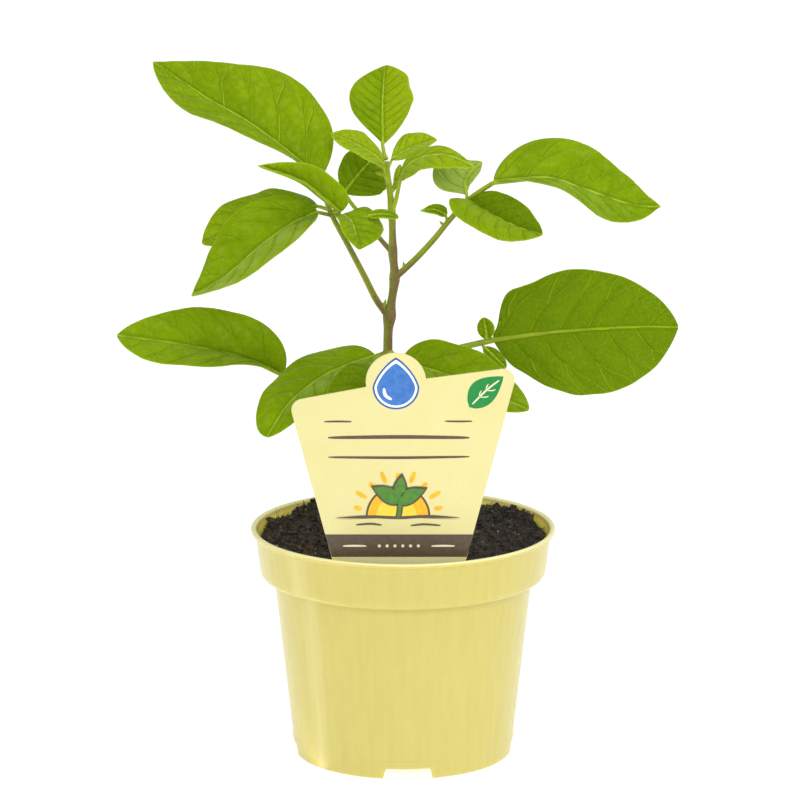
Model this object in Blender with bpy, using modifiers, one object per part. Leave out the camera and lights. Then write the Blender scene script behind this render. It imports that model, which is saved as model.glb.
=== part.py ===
"""A young pepino melon plant in a round nursery pot, with a plant label in its soil.

Metres, +Z up, front towards -Y. The origin is the pot's foot on the pot's axis.
The pot is turned, the soil fills it, and the stem and the label stand in plain holes in the soil.
Each leaf is its own solid: a stalk with its blades, 0.3 mm clear of the stem that carries it.
"""
import math

import bmesh
import bpy
from mathutils import Matrix, Vector, noise

MM = 0.001
GAP = 0.3 * MM

# Pot
POT_HEIGHT = 91 * MM
LIP_RADIUS = 60 * MM
LIP_HEIGHT = 1.5 * MM
LIP_WIDTH = 2.0 * MM
LIP_FLARE = 4.0 * MM
COLLAR_RADIUS = 58 * MM
COLLAR_FOOT_RADIUS = 56.2 * MM
COLLAR_FOOT = 74 * MM
BODY_TOP = 71 * MM
INNER_SHELF = 71.8 * MM
BODY_RADIUS = 50.85 * MM
FOOT_RADIUS = 43 * MM
FOOT_WIDTH = 2.4 * MM
WALL = 1.3 * MM
FLOOR_UNDERSIDE = 4.8 * MM
POT_SIDES = 40
NOTCH_COUNT = 4
NOTCH_TURN = math.radians(2.5)
NOTCH_WIDTH = 17.5 * MM
NOTCH_HEIGHT = 4.3 * MM
DRAIN_RADIUS = 3.2 * MM
DRAIN_PLACE = 33 * MM

# Soil
SOIL_EDGE = 86.8 * MM
SOIL_CROWN = 1.2 * MM
SOIL_RELIEF = 1.6 * MM
SOIL_LUMP = 11 * MM
SOIL_HEAPS = ((45, 28, 2.6, 11), (-38, 38, 1.2, 12))
SOIL_RINGS = 7
STEM_HOLE_RADIUS = 3.0 * MM

# Plant label: u runs across it from its centre line, v up it from the lower edge of its print
LABEL_THICKNESS = 0.8 * MM
LABEL_CENTRE = -1.7 * MM
LABEL_Y = -46.5 * MM
LABEL_Z = 90.6 * MM
LABEL_LEAN = math.radians(4)
LABEL_CORNERS = ((45.6, 76.3, 4.5), (-42.0, 62.6, 4.5))
BUMP_CENTRE = (-1.1, 70.4)
BUMP_RADIUS = 11.5
LABEL_BOTTOM = ((-24.9, -4.0), (-9.5, -7.0), (-4.0, -30.0), (0.0, -33.0), (4.0, -30.0), (9.5, -7.0),
                (25.1, -4.0))

# Main stem, in millimetres, from its foot in the soil to its tip
STEM = ((-3.5, 0, 48), (-4.2, 0, 84), (-5.6, 0, 120), (-6.0, 0, 161), (-5.4, 0, 175),
        (-3.4, 0, 190), (-4.0, 0, 200), (-4.3, 0, 213.5), (-5.0, 0, 223), (-6.7, 1.2, 236.5))
STEM_RADIUS = (2.3, 0.95)
STEM_NODES = ((177, 0.5), (190.5, 0.55), (201, 0.4), (217, 0.3))
NODE_HEIGHT = 3.5
STEM_STEPS = 28

# Leaf blades and their stalks
BLADE_THICKNESS = 0.7 * MM
BLADE_ARCH = 12
STALK_STEP = 7
MIDRIB_TIP_RADIUS = 0.35
MIDRIB_REACH = 0.9


def clear_scene():
    for obj in list(bpy.data.objects):
        bpy.data.objects.remove(obj, do_unlink=True)


def collection(name):
    group = bpy.data.collections.new(name)
    bpy.context.scene.collection.children.link(group)
    return group


def material(name, colour, roughness):
    mat = bpy.data.materials.new(name)
    mat.use_nodes = True
    shader = mat.node_tree.nodes["Principled BSDF"]
    shader.inputs["Base Color"].default_value = (*colour, 1)
    shader.inputs["Roughness"].default_value = roughness
    return mat


def object_from(bm, name, group):
    mesh = bpy.data.meshes.new(name)
    bm.to_mesh(mesh)
    bm.free()
    obj = bpy.data.objects.new(name, mesh)
    group.objects.link(obj)
    return obj


def finished(obj, name, mat):
    """Apply an object's modifiers and put it in the part's collection."""
    evaluated = obj.evaluated_get(bpy.context.evaluated_depsgraph_get())
    mesh = bpy.data.meshes.new_from_object(evaluated)
    bpy.data.objects.remove(obj, do_unlink=True)
    mesh.name = name
    mesh.materials.clear()
    mesh.materials.append(mat)
    solid = bpy.data.objects.new(name, mesh)
    PART.objects.link(solid)
    return solid


def as_cutter(obj):
    obj.hide_render = True
    obj.display_type = "WIRE"
    return obj


def cut(obj, cutter, solver="EXACT"):
    boolean = obj.modifiers.new("cut", "BOOLEAN")
    boolean.operation = "DIFFERENCE"
    boolean.object = cutter
    boolean.solver = solver


def inner_radius(height):
    """Radius of the pot's inner wall at a height above its floor."""
    stops = [(0.0, FOOT_RADIUS - WALL), (INNER_SHELF, BODY_RADIUS - WALL),
             (COLLAR_FOOT + WALL, COLLAR_FOOT_RADIUS - WALL), (POT_HEIGHT, COLLAR_RADIUS - WALL)]
    for (low, low_radius), (high, high_radius) in zip(stops, stops[1:]):
        if height <= high:
            return low_radius + (high_radius - low_radius) * (height - low) / (high - low)
    return COLLAR_RADIUS - WALL


def pot_profile():
    """The wall's section as (radius, height): inside from the axis, over the lip, down the outside."""
    floor = FLOOR_UNDERSIDE + WALL
    lip_foot = POT_HEIGHT - LIP_HEIGHT
    inside = [(0, floor), (inner_radius(floor) - 2 * MM, floor), (inner_radius(floor + 2 * MM), floor + 2 * MM)]
    inside += [(inner_radius(z), z) for z in (INNER_SHELF, COLLAR_FOOT + WALL)]
    lip = [(COLLAR_RADIUS - WALL, POT_HEIGHT - LIP_FLARE), (LIP_RADIUS - LIP_WIDTH, POT_HEIGHT - 0.5 * MM)]
    lip += [(LIP_RADIUS - LIP_WIDTH + 0.5 * MM, POT_HEIGHT), (LIP_RADIUS - 0.5 * MM, POT_HEIGHT)]
    lip += [(LIP_RADIUS, POT_HEIGHT - 0.5 * MM), (LIP_RADIUS, lip_foot + 0.5 * MM), (LIP_RADIUS - 0.5 * MM, lip_foot)]
    lip += [(COLLAR_RADIUS + 0.6 * MM, lip_foot - 0.6 * MM), (COLLAR_RADIUS, POT_HEIGHT - LIP_FLARE)]
    outside = [(COLLAR_FOOT_RADIUS, COLLAR_FOOT)]
    shelf_width = COLLAR_FOOT_RADIUS - BODY_RADIUS - 1 * MM
    shelf_drop = COLLAR_FOOT - BODY_TOP - 0.4 * MM
    for degrees in (30, 60, 90):
        turn = math.radians(degrees)
        outside.append((COLLAR_FOOT_RADIUS - shelf_width * (1 - math.cos(turn)),
                        COLLAR_FOOT - shelf_drop * math.sin(turn)))
    outside += [(BODY_RADIUS, BODY_TOP), (FOOT_RADIUS, 0.8 * MM), (FOOT_RADIUS - 0.6 * MM, 0)]
    under = [(FOOT_RADIUS - FOOT_WIDTH, 0), (FOOT_RADIUS - FOOT_WIDTH, FLOOR_UNDERSIDE), (0, FLOOR_UNDERSIDE)]
    return inside + lip + outside + under


def turned(name, profile, sides, group):
    """A full turn of a profile about Z, closed on the axis."""
    mesh = bpy.data.meshes.new(name)
    points = [(radius, 0, height) for radius, height in profile]
    mesh.from_pydata(points, [(k, k + 1) for k in range(len(points) - 1)], [])
    obj = bpy.data.objects.new(name, mesh)
    group.objects.link(obj)
    screw = obj.modifiers.new("turn", "SCREW")
    screw.steps = sides
    screw.render_steps = sides
    screw.use_merge_vertices = True
    screw.merge_threshold = 0.00001
    return obj


def box(name, size, place, group):
    bm = bmesh.new()
    bmesh.ops.create_cube(bm, size=1, matrix=place @ Matrix.Diagonal((*size, 1)))
    return object_from(bm, name, group)


def cylinder(name, radius, depth, place, group, sides=24):
    bm = bmesh.new()
    bmesh.ops.create_cone(bm, cap_ends=True, segments=sides, radius1=radius, radius2=radius,
                          depth=depth, matrix=place)
    return object_from(bm, name, group)


def make_pot():
    pot = turned("pot_wall", pot_profile(), POT_SIDES, PART)
    ring_middle = FOOT_RADIUS - FOOT_WIDTH / 2
    for index in range(NOTCH_COUNT):
        turn = Matrix.Rotation(math.tau * index / NOTCH_COUNT + NOTCH_TURN, 4, "Z")
        notch_place = turn @ Matrix.Translation((0, -ring_middle, NOTCH_HEIGHT / 2 - 1 * MM))
        notch_size = (NOTCH_WIDTH, 2.5 * FOOT_WIDTH, NOTCH_HEIGHT + 2 * MM)
        cut(pot, as_cutter(box(f"notch_{index}", notch_size, notch_place, CUTTERS)))
        drain_place = turn @ Matrix.Translation((0, -DRAIN_PLACE, FLOOR_UNDERSIDE))
        cut(pot, as_cutter(cylinder(f"drain_{index}", DRAIN_RADIUS, 8 * MM, drain_place, CUTTERS)))
    return finished(pot, "pot", material("pale yellow plastic", (0.80, 0.68, 0.22), 0.35))


def label_place():
    """From the label's own plane (u, thickness, v) to the plant's frame."""
    lean = Matrix.Rotation(LABEL_LEAN, 4, "X")
    return Matrix.Translation((LABEL_CENTRE, LABEL_Y, LABEL_Z)) @ lean


def soil_height(x, y, radius):
    """The uneven top: a low crown with lumps and two heaps against the back of the wall."""
    lump = noise.fractal(Vector((x, y, 0)) / SOIL_LUMP, 0.8, 2.0, 3)
    inward = 1 - (math.hypot(x, y) / radius) ** 2
    heaps = sum(rise * MM * math.exp(-((x / MM - u) ** 2 + (y / MM - v) ** 2) / reach ** 2)
                for u, v, rise, reach in SOIL_HEAPS)
    return SOIL_EDGE + SOIL_CROWN * inward + SOIL_RELIEF * lump + heaps


def make_soil():
    bottom = FLOOR_UNDERSIDE + WALL + GAP
    walls = [(0, bottom), (inner_radius(bottom) - 2.4 * MM, bottom)]
    walls += [(inner_radius(bottom + 2.4 * MM) - GAP, bottom + 2.4 * MM)]
    walls += [(inner_radius(z) - GAP, z + GAP) for z in (INNER_SHELF, COLLAR_FOOT + WALL)]
    edge = inner_radius(SOIL_EDGE) - GAP - 0.2 * MM
    top = [(edge * (1 - ring / SOIL_RINGS), SOIL_EDGE) for ring in range(SOIL_RINGS + 1)]
    plug = turned("soil_plug", list(reversed(walls + top)), POT_SIDES, PART)
    soil_material = material("peat", (0.03, 0.022, 0.016), 0.95)
    plug = finished(plug, "soil_plug", soil_material)
    for vert in plug.data.vertices:
        if vert.co.z > SOIL_EDGE - 0.1 * MM:
            vert.co.z = soil_height(vert.co.x, vert.co.y, edge)
    hole = cylinder("stem_hole", STEM_HOLE_RADIUS, 60 * MM,
                    Matrix.Translation((STEM[0][0] * MM - 0.35 * MM, 0, 77 * MM)), CUTTERS, 16)
    stake_place = label_place() @ Matrix.Translation((0, 0, -18.5 * MM))
    stake_slot = box("stake_slot", (19.6 * MM, LABEL_THICKNESS + 2 * GAP, 30 * MM), stake_place, CUTTERS)
    hem_place = label_place() @ Matrix.Translation((0, 0, -2.5 * MM))
    hem_slot = box("hem_slot", (52.4 * MM, LABEL_THICKNESS + 2 * GAP, 9.8 * MM), hem_place, CUTTERS)
    cut(plug, as_cutter(hole))
    cut(plug, as_cutter(stake_slot))
    cut(plug, as_cutter(hem_slot))
    return finished(plug, "potting_soil", soil_material)


def arc(centre, radius, start, end, count):
    """Points in millimetres along an arc, the angles in degrees."""
    turns = [math.radians(start + (end - start) * k / count) for k in range(count + 1)]
    return [(centre[0] + radius * math.cos(turn), centre[1] + radius * math.sin(turn)) for turn in turns]


def round_corner(before, corner, after, radius, count=5):
    """Points in millimetres that round a corner of an outline."""
    corner = Vector(corner)
    to_before = (Vector(before) - corner).normalized()
    to_after = (Vector(after) - corner).normalized()
    half = to_before.angle(to_after) / 2
    centre = corner + (to_before + to_after).normalized() * radius / math.sin(half)
    first = corner + to_before * radius / math.tan(half)
    last = corner + to_after * radius / math.tan(half)
    start = math.atan2(first.y - centre.y, first.x - centre.x)
    sweep = (math.atan2(last.y - centre.y, last.x - centre.x) - start + math.pi) % math.tau - math.pi
    return arc(centre, radius, math.degrees(start), math.degrees(start + sweep), count)


def label_outline():
    """The die-cut outline in millimetres, anticlockwise from the lower left."""
    (right_u, right_v, right_round), (left_u, left_v, left_round) = LABEL_CORNERS
    slope_right = math.degrees(math.atan2(BUMP_CENTRE[1] - right_v + 1.0, BUMP_CENTRE[0] - right_u))
    slope_left = math.degrees(math.atan2(left_v - BUMP_CENTRE[1] + 0.3, left_u - BUMP_CENTRE[0]))
    bump = arc(BUMP_CENTRE, BUMP_RADIUS, slope_right % 360 - 180, slope_left % 360, 14)
    lower = list(LABEL_BOTTOM)
    right = round_corner(lower[-1], (right_u, right_v), bump[0], right_round)
    left = round_corner(bump[-1], (left_u, left_v), lower[0], left_round)
    return lower + right + bump + left


def make_label():
    curve = bpy.data.curves.new("label_outline", "CURVE")
    curve.dimensions = "2D"
    curve.fill_mode = "BOTH"
    curve.extrude = LABEL_THICKNESS / 2
    points = label_outline()
    spline = curve.splines.new("POLY")
    spline.points.add(len(points) - 1)
    for point, (u, v) in zip(spline.points, points):
        point.co = (u * MM, v * MM, 0, 1)
    spline.use_cyclic_u = True
    obj = bpy.data.objects.new("label_outline", curve)
    PART.objects.link(obj)
    upright = label_place() @ Matrix.Rotation(math.radians(90), 4, "X")
    label = welded(obj, "plant_label_plate")
    label.data.transform(upright)
    return finished(label, "plant_label", material("printed plastic", (0.94, 0.86, 0.40), 0.45))


def welded(curve_object, name):
    """A curve object as a closed mesh object; the curve is removed."""
    evaluated = curve_object.evaluated_get(bpy.context.evaluated_depsgraph_get())
    mesh = bpy.data.meshes.new_from_object(evaluated)
    bm = bmesh.new()
    bm.from_mesh(mesh)
    bmesh.ops.remove_doubles(bm, verts=bm.verts, dist=0.001 * MM)
    bmesh.ops.recalc_face_normals(bm, faces=bm.faces)
    solid = object_from(bm, name, PART)
    solid.matrix_world = curve_object.matrix_world
    bpy.data.objects.remove(curve_object, do_unlink=True)
    return solid


def path_at(points, fractions):
    """Points at fractions of the length of a smooth curve through hand-placed points."""
    stops = [Vector(point) for point in points]
    stops = [2 * stops[0] - stops[1]] + stops + [2 * stops[-1] - stops[-2]]
    dense = []
    for a, b, c, d in zip(stops, stops[1:], stops[2:], stops[3:]):
        for step in range(24):
            t = step / 24
            dense.append((2 * b + (c - a) * t + (2 * a - 5 * b + 4 * c - d) * t ** 2
                          + (3 * b - a - 3 * c + d) * t ** 3) / 2)
    dense.append(stops[-2])
    lengths = [0.0]
    for near, far in zip(dense, dense[1:]):
        lengths.append(lengths[-1] + (far - near).length)
    found = []
    for fraction in fractions:
        goal = lengths[-1] * fraction
        index = max(k for k in range(len(dense) - 1) if lengths[k] <= goal)
        share = (goal - lengths[index]) / (lengths[index + 1] - lengths[index])
        found.append(dense[index].lerp(dense[index + 1], share) * MM)
    return found


def tube(name, points, radii, resolution=2):
    """A round stem through points in metres, its radii in millimetres."""
    curve = bpy.data.curves.new(name, "CURVE")
    curve.dimensions = "3D"
    curve.bevel_depth = MM
    curve.bevel_resolution = resolution
    curve.use_fill_caps = True
    spline = curve.splines.new("POLY")
    spline.points.add(len(points) - 1)
    for point, place, radius in zip(spline.points, points, radii):
        point.co = (*place, 1)
        point.radius = radius
    obj = bpy.data.objects.new(name, curve)
    PART.objects.link(obj)
    return welded(obj, name)


def stem_tube(name, extra):
    """The main stem, thicker at its nodes; extra widens it for a clearance cutter."""
    fractions = [k / STEM_STEPS for k in range(STEM_STEPS + 1)]
    points = path_at(STEM, fractions)
    radii = []
    for point, fraction in zip(points, fractions):
        radius = STEM_RADIUS[0] + (STEM_RADIUS[1] - STEM_RADIUS[0]) * fraction ** 1.4
        for height, swelling in STEM_NODES:
            radius += swelling * math.exp(-((point.z / MM - height) / NODE_HEIGHT) ** 2)
        radii.append(radius + extra)
    return tube(name, points, radii)


def blade_frame(blade, fraction):
    """Place and the directions along, across and out of the face at a fraction of the midrib."""
    before, place, after = path_at(blade["rib"], (max(fraction - 0.02, 0), fraction, min(fraction + 0.02, 1)))
    along = (after - before).normalized()
    face = Vector(blade["face"]).lerp(Vector(blade["tip_face"]), fraction)
    normal = (face - along * face.dot(along)).normalized()
    return place, along, along.cross(normal), normal


def half_width(half, fraction):
    """The width of one half in millimetres: blunt at the base, pointed at the tip."""
    base, tip = half["ends"]
    widest = base / (base + tip)
    return half["width"] * (fraction / widest) ** base * ((1 - fraction) / (1 - widest)) ** tip


def blade_point(blade, fraction, across):
    """A point of the blade; across runs from -1 at the left margin to 1 at the right margin."""
    place, along, side, normal = blade_frame(blade, fraction)
    half = blade["left"] if across < 0 else blade["right"]
    reach = abs(across) * half_width(half, fraction)
    base_fold, tip_fold = half["folds"]
    fold = base_fold + (tip_fold - base_fold) * fraction + BLADE_ARCH * (1 - abs(across))
    height, count, phase = blade["wave"]
    turns = count * fraction + phase + (0.25 if across > 0 else 0)
    ripple = height * across ** 2 * math.sin(math.tau * turns) * math.sin(math.pi * fraction)
    sideways = math.copysign(reach * math.cos(math.radians(fold)), across)
    lift = reach * math.sin(math.radians(fold)) + ripple
    heel = half["heel"] * reach * (1 - fraction) ** 2
    return place + (side * sideways + normal * lift - along * heel) * MM


def blade_solid(name, blade):
    """One leaf blade: a flat grid shaped by the blade's values, in triangles, then thickened."""
    bm = bmesh.new()
    long_steps, half_steps, _ = blade["steps"]
    bmesh.ops.create_grid(bm, x_segments=long_steps, y_segments=2 * half_steps, size=1)
    for vert in bm.verts:
        fraction = (1 - math.cos(math.pi * (vert.co.x + 1) / 2)) / 2
        vert.co = blade_point(blade, min(max(fraction, 0), 1), vert.co.y)
    bmesh.ops.remove_doubles(bm, verts=bm.verts, dist=0.001 * MM)
    bmesh.ops.triangulate(bm, faces=bm.faces)
    obj = object_from(bm, name, PART)
    solidify = obj.modifiers.new("thickness", "SOLIDIFY")
    solidify.thickness = BLADE_THICKNESS
    solidify.offset = 0
    return obj


def stalk_solid(name, blade):
    """The stalk and the midrib under its blade, as one tapering stem."""
    stalk_length = sum((Vector(b) - Vector(a)).length for a, b in zip(blade["stalk"], blade["stalk"][1:]))
    count = max(2, round(stalk_length / STALK_STEP))
    points = path_at(blade["stalk"], [k / count for k in range(count)])
    first, last = blade["stalk_radius"]
    radii = [first + (last - first) * k / count for k in range(count)]
    rib_steps = blade["steps"][2]
    for k in range(rib_steps + 1):
        fraction = MIDRIB_REACH * k / rib_steps
        place, _, _, normal = blade_frame(blade, fraction)
        radius = last + (MIDRIB_TIP_RADIUS - last) * k / rib_steps
        points.append(place - normal * radius * 0.6 * MM)
        radii.append(radius)
    return tube(name, points, radii, 1)


def bud_solid(name, bud):
    """A small bud: a long ball from its foot to its tip, in millimetres."""
    foot, tip, radius = Vector(bud[0]) * MM, Vector(bud[1]) * MM, bud[2] * MM
    bm = bmesh.new()
    place = Matrix.Translation((foot + tip) / 2) @ (tip - foot).to_track_quat("Z", "Y").to_matrix().to_4x4()
    size = Matrix.Diagonal((radius, radius, (tip - foot).length / 2, 1))
    bmesh.ops.create_uvsphere(bm, u_segments=6, v_segments=4, radius=1, matrix=place @ size)
    return object_from(bm, name, PART)


def fused(name, pieces):
    """Overlapping closed pieces joined in one solid; the pieces are removed."""
    first, *rest = pieces
    group = bpy.data.collections.new(name)
    for piece in rest:
        group.objects.link(piece)
    union = first.modifiers.new("join", "BOOLEAN")
    union.operation = "UNION"
    union.operand_type = "COLLECTION"
    union.collection = group
    union.solver = "EXACT"
    evaluated = first.evaluated_get(bpy.context.evaluated_depsgraph_get())
    mesh = bpy.data.meshes.new_from_object(evaluated)
    for piece in pieces:
        bpy.data.objects.remove(piece, do_unlink=True)
    bpy.data.collections.remove(group)
    solid = bpy.data.objects.new(name, mesh)
    PART.objects.link(solid)
    return solid


def half(width, folds, ends=(0.6, 0.8), heel=0.0):
    """One half of a blade.

    It has its width, its folds at base and tip, and how fast it widens and narrows. The heel sets
    the margin back from the base, as in a heart-shaped leaf, in parts of the width.
    """
    return {"width": width, "folds": folds, "ends": ends, "heel": heel}


# Steps along a blade, across each of its halves, and along its midrib
LARGE = (12, 2, 4)
MIDDLE = (10, 2, 3)
TINY = (5, 1, 1)


def blade(stalk, stalk_radius, rib, faces, left, right=None, wave=(1.0, 2.5, 0.0), steps=MIDDLE):
    """The values of one blade and its stalk: points and widths in millimetres, angles in degrees.

    The faces point the way that the upper side looks at the base and at the tip. Each half rises
    by its fold from the midrib to its margin. The wave is a height, a count and a phase.
    """
    return {"stalk": stalk + rib[:1], "stalk_radius": stalk_radius, "rib": rib,
            "face": faces[0], "tip_face": faces[-1], "left": left, "right": right or left,
            "wave": wave, "steps": steps}


LEAVES = {
    "leaf_upper_left": [
        blade([(-5.5, 0, 175), (-10.5, -2, 182.5), (-15, -4, 192), (-21, -8, 204.5), (-27.5, -11, 217.5),
               (-30.5, -11, 226)],
              (1.4, 0.9), [(-32, -9, 232), (-57.5, 1, 250), (-76.5, 9, 260), (-97.5, 19, 272.5)],
              [(0.3, -0.46, 0.84), (0.17, -0.63, 0.76)],
              half(23, (42, 12), (0.7, 0.9)), half(25, (32, 22), (0.55, 1.0)), steps=LARGE),
        blade([(-28, -11, 219)], (0.8, 0.7),
              [(-24.5, -14, 219.5), (-32, -17, 226), (-40.5, -21, 233), (-55.5, -28, 240)],
              [(0.4, -0.55, 0.75)], half(9.5, (38, 40)), half(9, (62, 60), (0.4, 0.9), 0.3),
              wave=(0.6, 2, 0)),
        blade([(-27.5, -11, 217.5)], (0.8, 0.7),
              [(-33, -15, 219.5), (-43, -22, 216), (-54.5, -30, 209), (-68.5, -37, 198), (-80.5, -42, 192)],
              [(-0.13, -0.52, 0.85)], half(16, (16, 32), (0.75, 0.65)), half(16.5, (48, 4), (0.7, 0.9))),
        blade([(-28, -11, 219.5)], (0.8, 0.7),
              [(-33, -5, 220), (-44, 2, 217), (-60, 9, 210.5), (-78.5, 13, 201.5)],
              [(0, -0.6, 0.8)], half(13, (10, 10)), half(13.5, (0, 20), (0.9, 0.65))),
        blade([(-27.5, -11, 218)], (0.7, 0.6), [(-23.5, -13, 218), (-20, -17, 215.5), (-17, -26, 207)],
              [(0.35, -0.75, 0.55)], half(13, (-10, 12), (0.4, 0.75)), half(9.5, (35, 30), (0.5, 0.6)),
              wave=(0.5, 2, 0)),
        blade([(-27.5, -11, 217.5), (-20, -12.5, 217)], (0.7, 0.5),
              [(-13.5, -13, 217.5), (-8, -12, 218), (-2, -10, 216.5)],
              [(0, -0.75, 0.65)], half(2.2, (20, 20), (0.3, 0.4)), wave=(0.2, 1, 0), steps=TINY),
    ],
    "leaf_upper_right": [
        blade([(-4, 0, 190), (4.5, -3, 198.5), (12, -7, 207.5), (17.5, -10, 215), (25.5, -14, 224.5)],
              (1.3, 0.9), [(35, -16, 231.5), (55.5, -14, 232.5), (69.5, -10, 227.5), (88.5, -2, 220),
                           (100, 2, 218.5)],
              [(0.26, -0.39, 0.88), (0.28, -0.63, 0.72)],
              half(18, (10, 50), (0.55, 0.95)), half(15, (45, -20), (0.95, 1.05)), steps=LARGE),
        blade([(25, -14, 224)], (0.7, 0.6),
              [(25.5, -15, 223.8), (32, -20, 220.5), (43.5, -30, 216.5), (53, -38, 215)],
              [(-0.16, -0.48, 0.87)], half(10, (34, 17), (0.5, 0.75)), half(14.5, (34, 2), (0.4, 0.7), 0.65),
              wave=(0.6, 2, 0)),
        blade([(24.5, -13.5, 223)], (0.7, 0.6),
              [(24.5, -12.5, 226), (24, -9, 230), (26.5, -5, 233.5), (30.5, -1, 236.5)],
              [(0.1, -0.9, 0.3), (-0.3, -0.6, 0.7)],
              half(14, (15, -10), (0.6, 0.7)), half(3.2, (20, 0), (1.1, 0.9)), wave=(0.4, 2, 0)),
        blade([(17, -10, 214.5)], (0.6, 0.5), [(16.5, -11.5, 217.5), (12, -14, 220), (6.5, -17, 220.5)],
              [(0, -0.8, 0.6)], half(2.3, (20, 15), (0.6, 0.85)), half(3, (25, 20), (0.4, 1.1)),
              wave=(0.2, 1, 0), steps=TINY),
    ],
    "leaf_back": [
        blade([(-4, 0, 200.5), (-8.5, 3, 205), (-14, 9, 211), (-20, 15, 217)], (1.0, 0.75),
              [(-23, 17.5, 221), (-19, 20, 226), (-14, 22, 231.5), (-9.5, 24, 235.5)],
              [(0, -0.8, 0.6)], half(9.3, (0, 2), (0.75, 0.6)), half(12.7, (6, 0), (0.7, 0.65)),
              wave=(0.6, 2, 0)),
    ],
    "leaf_top": [
        blade([(-6.9, 1.4, 237.2), (-7.5, 2.8, 239.5)], (0.8, 0.7),
              [(-8, 4.5, 242.5), (-8, 8, 256.5), (-7, 13, 272)],
              [(0.1, -0.95, 0.3)], half(13.4, (25, -16), (1.2, 0.9)), half(12.3, (5, 45), (0.9, 0.5)),
              wave=(0.6, 2, 0)),
    ],
    "leaf_crown_left": [
        blade([(-5.5, 0.3, 228), (-7, -1.5, 231.5)], (0.75, 0.6),
              [(-7.5, -2.5, 235.5), (-12, -4, 240), (-18.5, -6, 244), (-28, -9, 249)],
              [(0.1, -0.55, 0.83)], half(7.8, (26, 8), (0.4, 0.55)), half(7.6, (-8, 22), (0.75, 0.95)),
              wave=(0.4, 2, 0)),
    ],
    "leaf_crown_right": [
        blade([(-6.4, 0.9, 233.5), (-5.2, 1.5, 235.5)], (0.65, 0.55),
              [(-4.5, 2, 237), (0.5, 4, 239.5), (5.5, 6, 241.5), (13, 8, 243.5)],
              [(-0.1, -0.65, 0.75)], half(6.9, (12, 2), (0.9, 0.7)), half(7, (28, 34), (0.6, 0.85)),
              wave=(0.4, 2, 0.3)),
    ],
    "leaf_arching": [
        blade([(-4.5, 0, 216.5), (-2.8, -1.6, 222), (-1.8, -3, 227)], (0.95, 0.7),
              [(-1, -5, 231), (2, -9, 236.5), (8, -13, 240.5), (14.5, -17, 242), (21, -20, 241), (27, -23, 238.5)],
              [(-0.2, -0.6, 0.78)], half(6.4, (-4, -10), (0.6, 1.1)), half(9, (4, 16), (0.65, 0.75)),
              wave=(0.4, 2, 0), steps=LARGE),
    ],
    "leaf_lower_left": [
        blade([(-6, 0, 150.5), (-28, -3, 152.5)], (1.3, 1.0),
              [(-47, -6, 153.5), (-62.5, -14, 162), (-84.5, -22, 168.5), (-110, -30, 174)],
              [(0.41, -0.47, 0.78)], half(17.5, (42, 5), (1.0, 0.6)), half(16.5, (62, 17), (0.5, 0.75)),
              wave=(1.2, 3, 0.2), steps=LARGE),
    ],
    "leaf_front_left": [
        blade([(-6, 0, 160.5)], (1.3, 1.0),
              [(-11, -3, 160), (-20, -8, 158), (-30, -17, 155.5), (-38.5, -27, 151.5), (-45, -36, 147),
               (-52, -45, 137.5)],
              [(0, -0.35, 0.94)], half(15, (15, 10), (0.5, 0.7)), half(13, (20, 0), (0.4, 0.4))),
    ],
    "leaf_inner_front": [
        blade([(-6, 0, 154), (-6, -8, 155)], (1.1, 0.9),
              [(-6, -20, 156), (-14, -31, 154), (-23, -40, 147.5), (-28, -45, 142)],
              [(0.1, -0.85, 0.5)], half(9, (5, 5)), half(12, (0, 0), (0.6, 0.8))),
    ],
    "leaf_lower_right": [
        blade([(-6, 0, 155), (10, 3, 159), (24, 6, 162)], (1.4, 1.2),
              [(35.5, 9, 164), (59, 12, 166.5), (89.5, 19, 167), (108.5, 24, 166)],
              [(0.15, -0.93, 0.38)], half(24, (12, 8), (0.55, 0.75)), half(26, (-6, -8), (0.75, 0.8)),
              steps=LARGE),
        blade([(31, 8, 163)], (0.6, 0.5), [(33, 8, 164.5), (32.5, 8, 169), (31.5, 7, 173.5)],
              [(-0.2, -0.95, 0.3)], half(3.5, (10, 10), (0.6, 0.6)), wave=(0.2, 1, 0), steps=TINY),
        blade([(31, 8, 163)], (0.6, 0.5), [(31.5, 7, 161.5), (35, 5, 158.5), (40, 2, 154)],
              [(0.5, -0.7, 0.5)], half(3.5, (10, 10), (0.6, 0.6)), wave=(0.2, 1, 0), steps=TINY),
    ],
    "leaf_front_right": [
        blade([(-6, 0, 161), (-3, -2.5, 160)], (1.3, 1.0),
              [(-0.5, -4, 158.5), (9, -12, 157), (26, -20, 153), (39, -28, 148.5), (48, -34, 145.5)],
              [(0.1, -0.45, 0.88)], half(14, (48, -3), (0.45, 0.65)), half(13.5, (0, 10), (0.6, 0.55))),
    ],
    "growing_tip": [
        blade([(-5, 0.4, 223), (-4, 1.6, 226)], (0.6, 0.5),
              [(-3.5, 2, 227.5), (-2.5, 2.6, 231), (-1.2, 3, 235)],
              [(0.6, -0.7, 0.4)], half(1.7, (20, 10), (0.6, 0.6)), wave=(0.1, 1, 0), steps=TINY),
        blade([(-4.6, 0.8, 224)], (0.5, 0.45), [(-3.4, 1.6, 225.5), (-2, 1.4, 228), (-1, 1.2, 230.5)],
              [(-0.5, -0.7, 0.5)], half(1.4, (20, 10), (0.6, 0.6)), wave=(0.1, 1, 0), steps=TINY),
    ],
}

# Buds by leaf, in millimetres: foot, tip and radius
BUDS = {
    "leaf_upper_left": [((-8, -1.3, 178), (-6.8, -1.6, 182.5), 0.9)],
    "leaf_upper_right": [((0.8, -1.6, 193.5), (0, -1.6, 197.5), 0.8), ((16, -9.5, 213), (14, -9.8, 215), 0.7)],
    "leaf_crown_left": [((-6.8, -1.6, 231.5), (-11, -3, 233), 1.1)],
}


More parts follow.
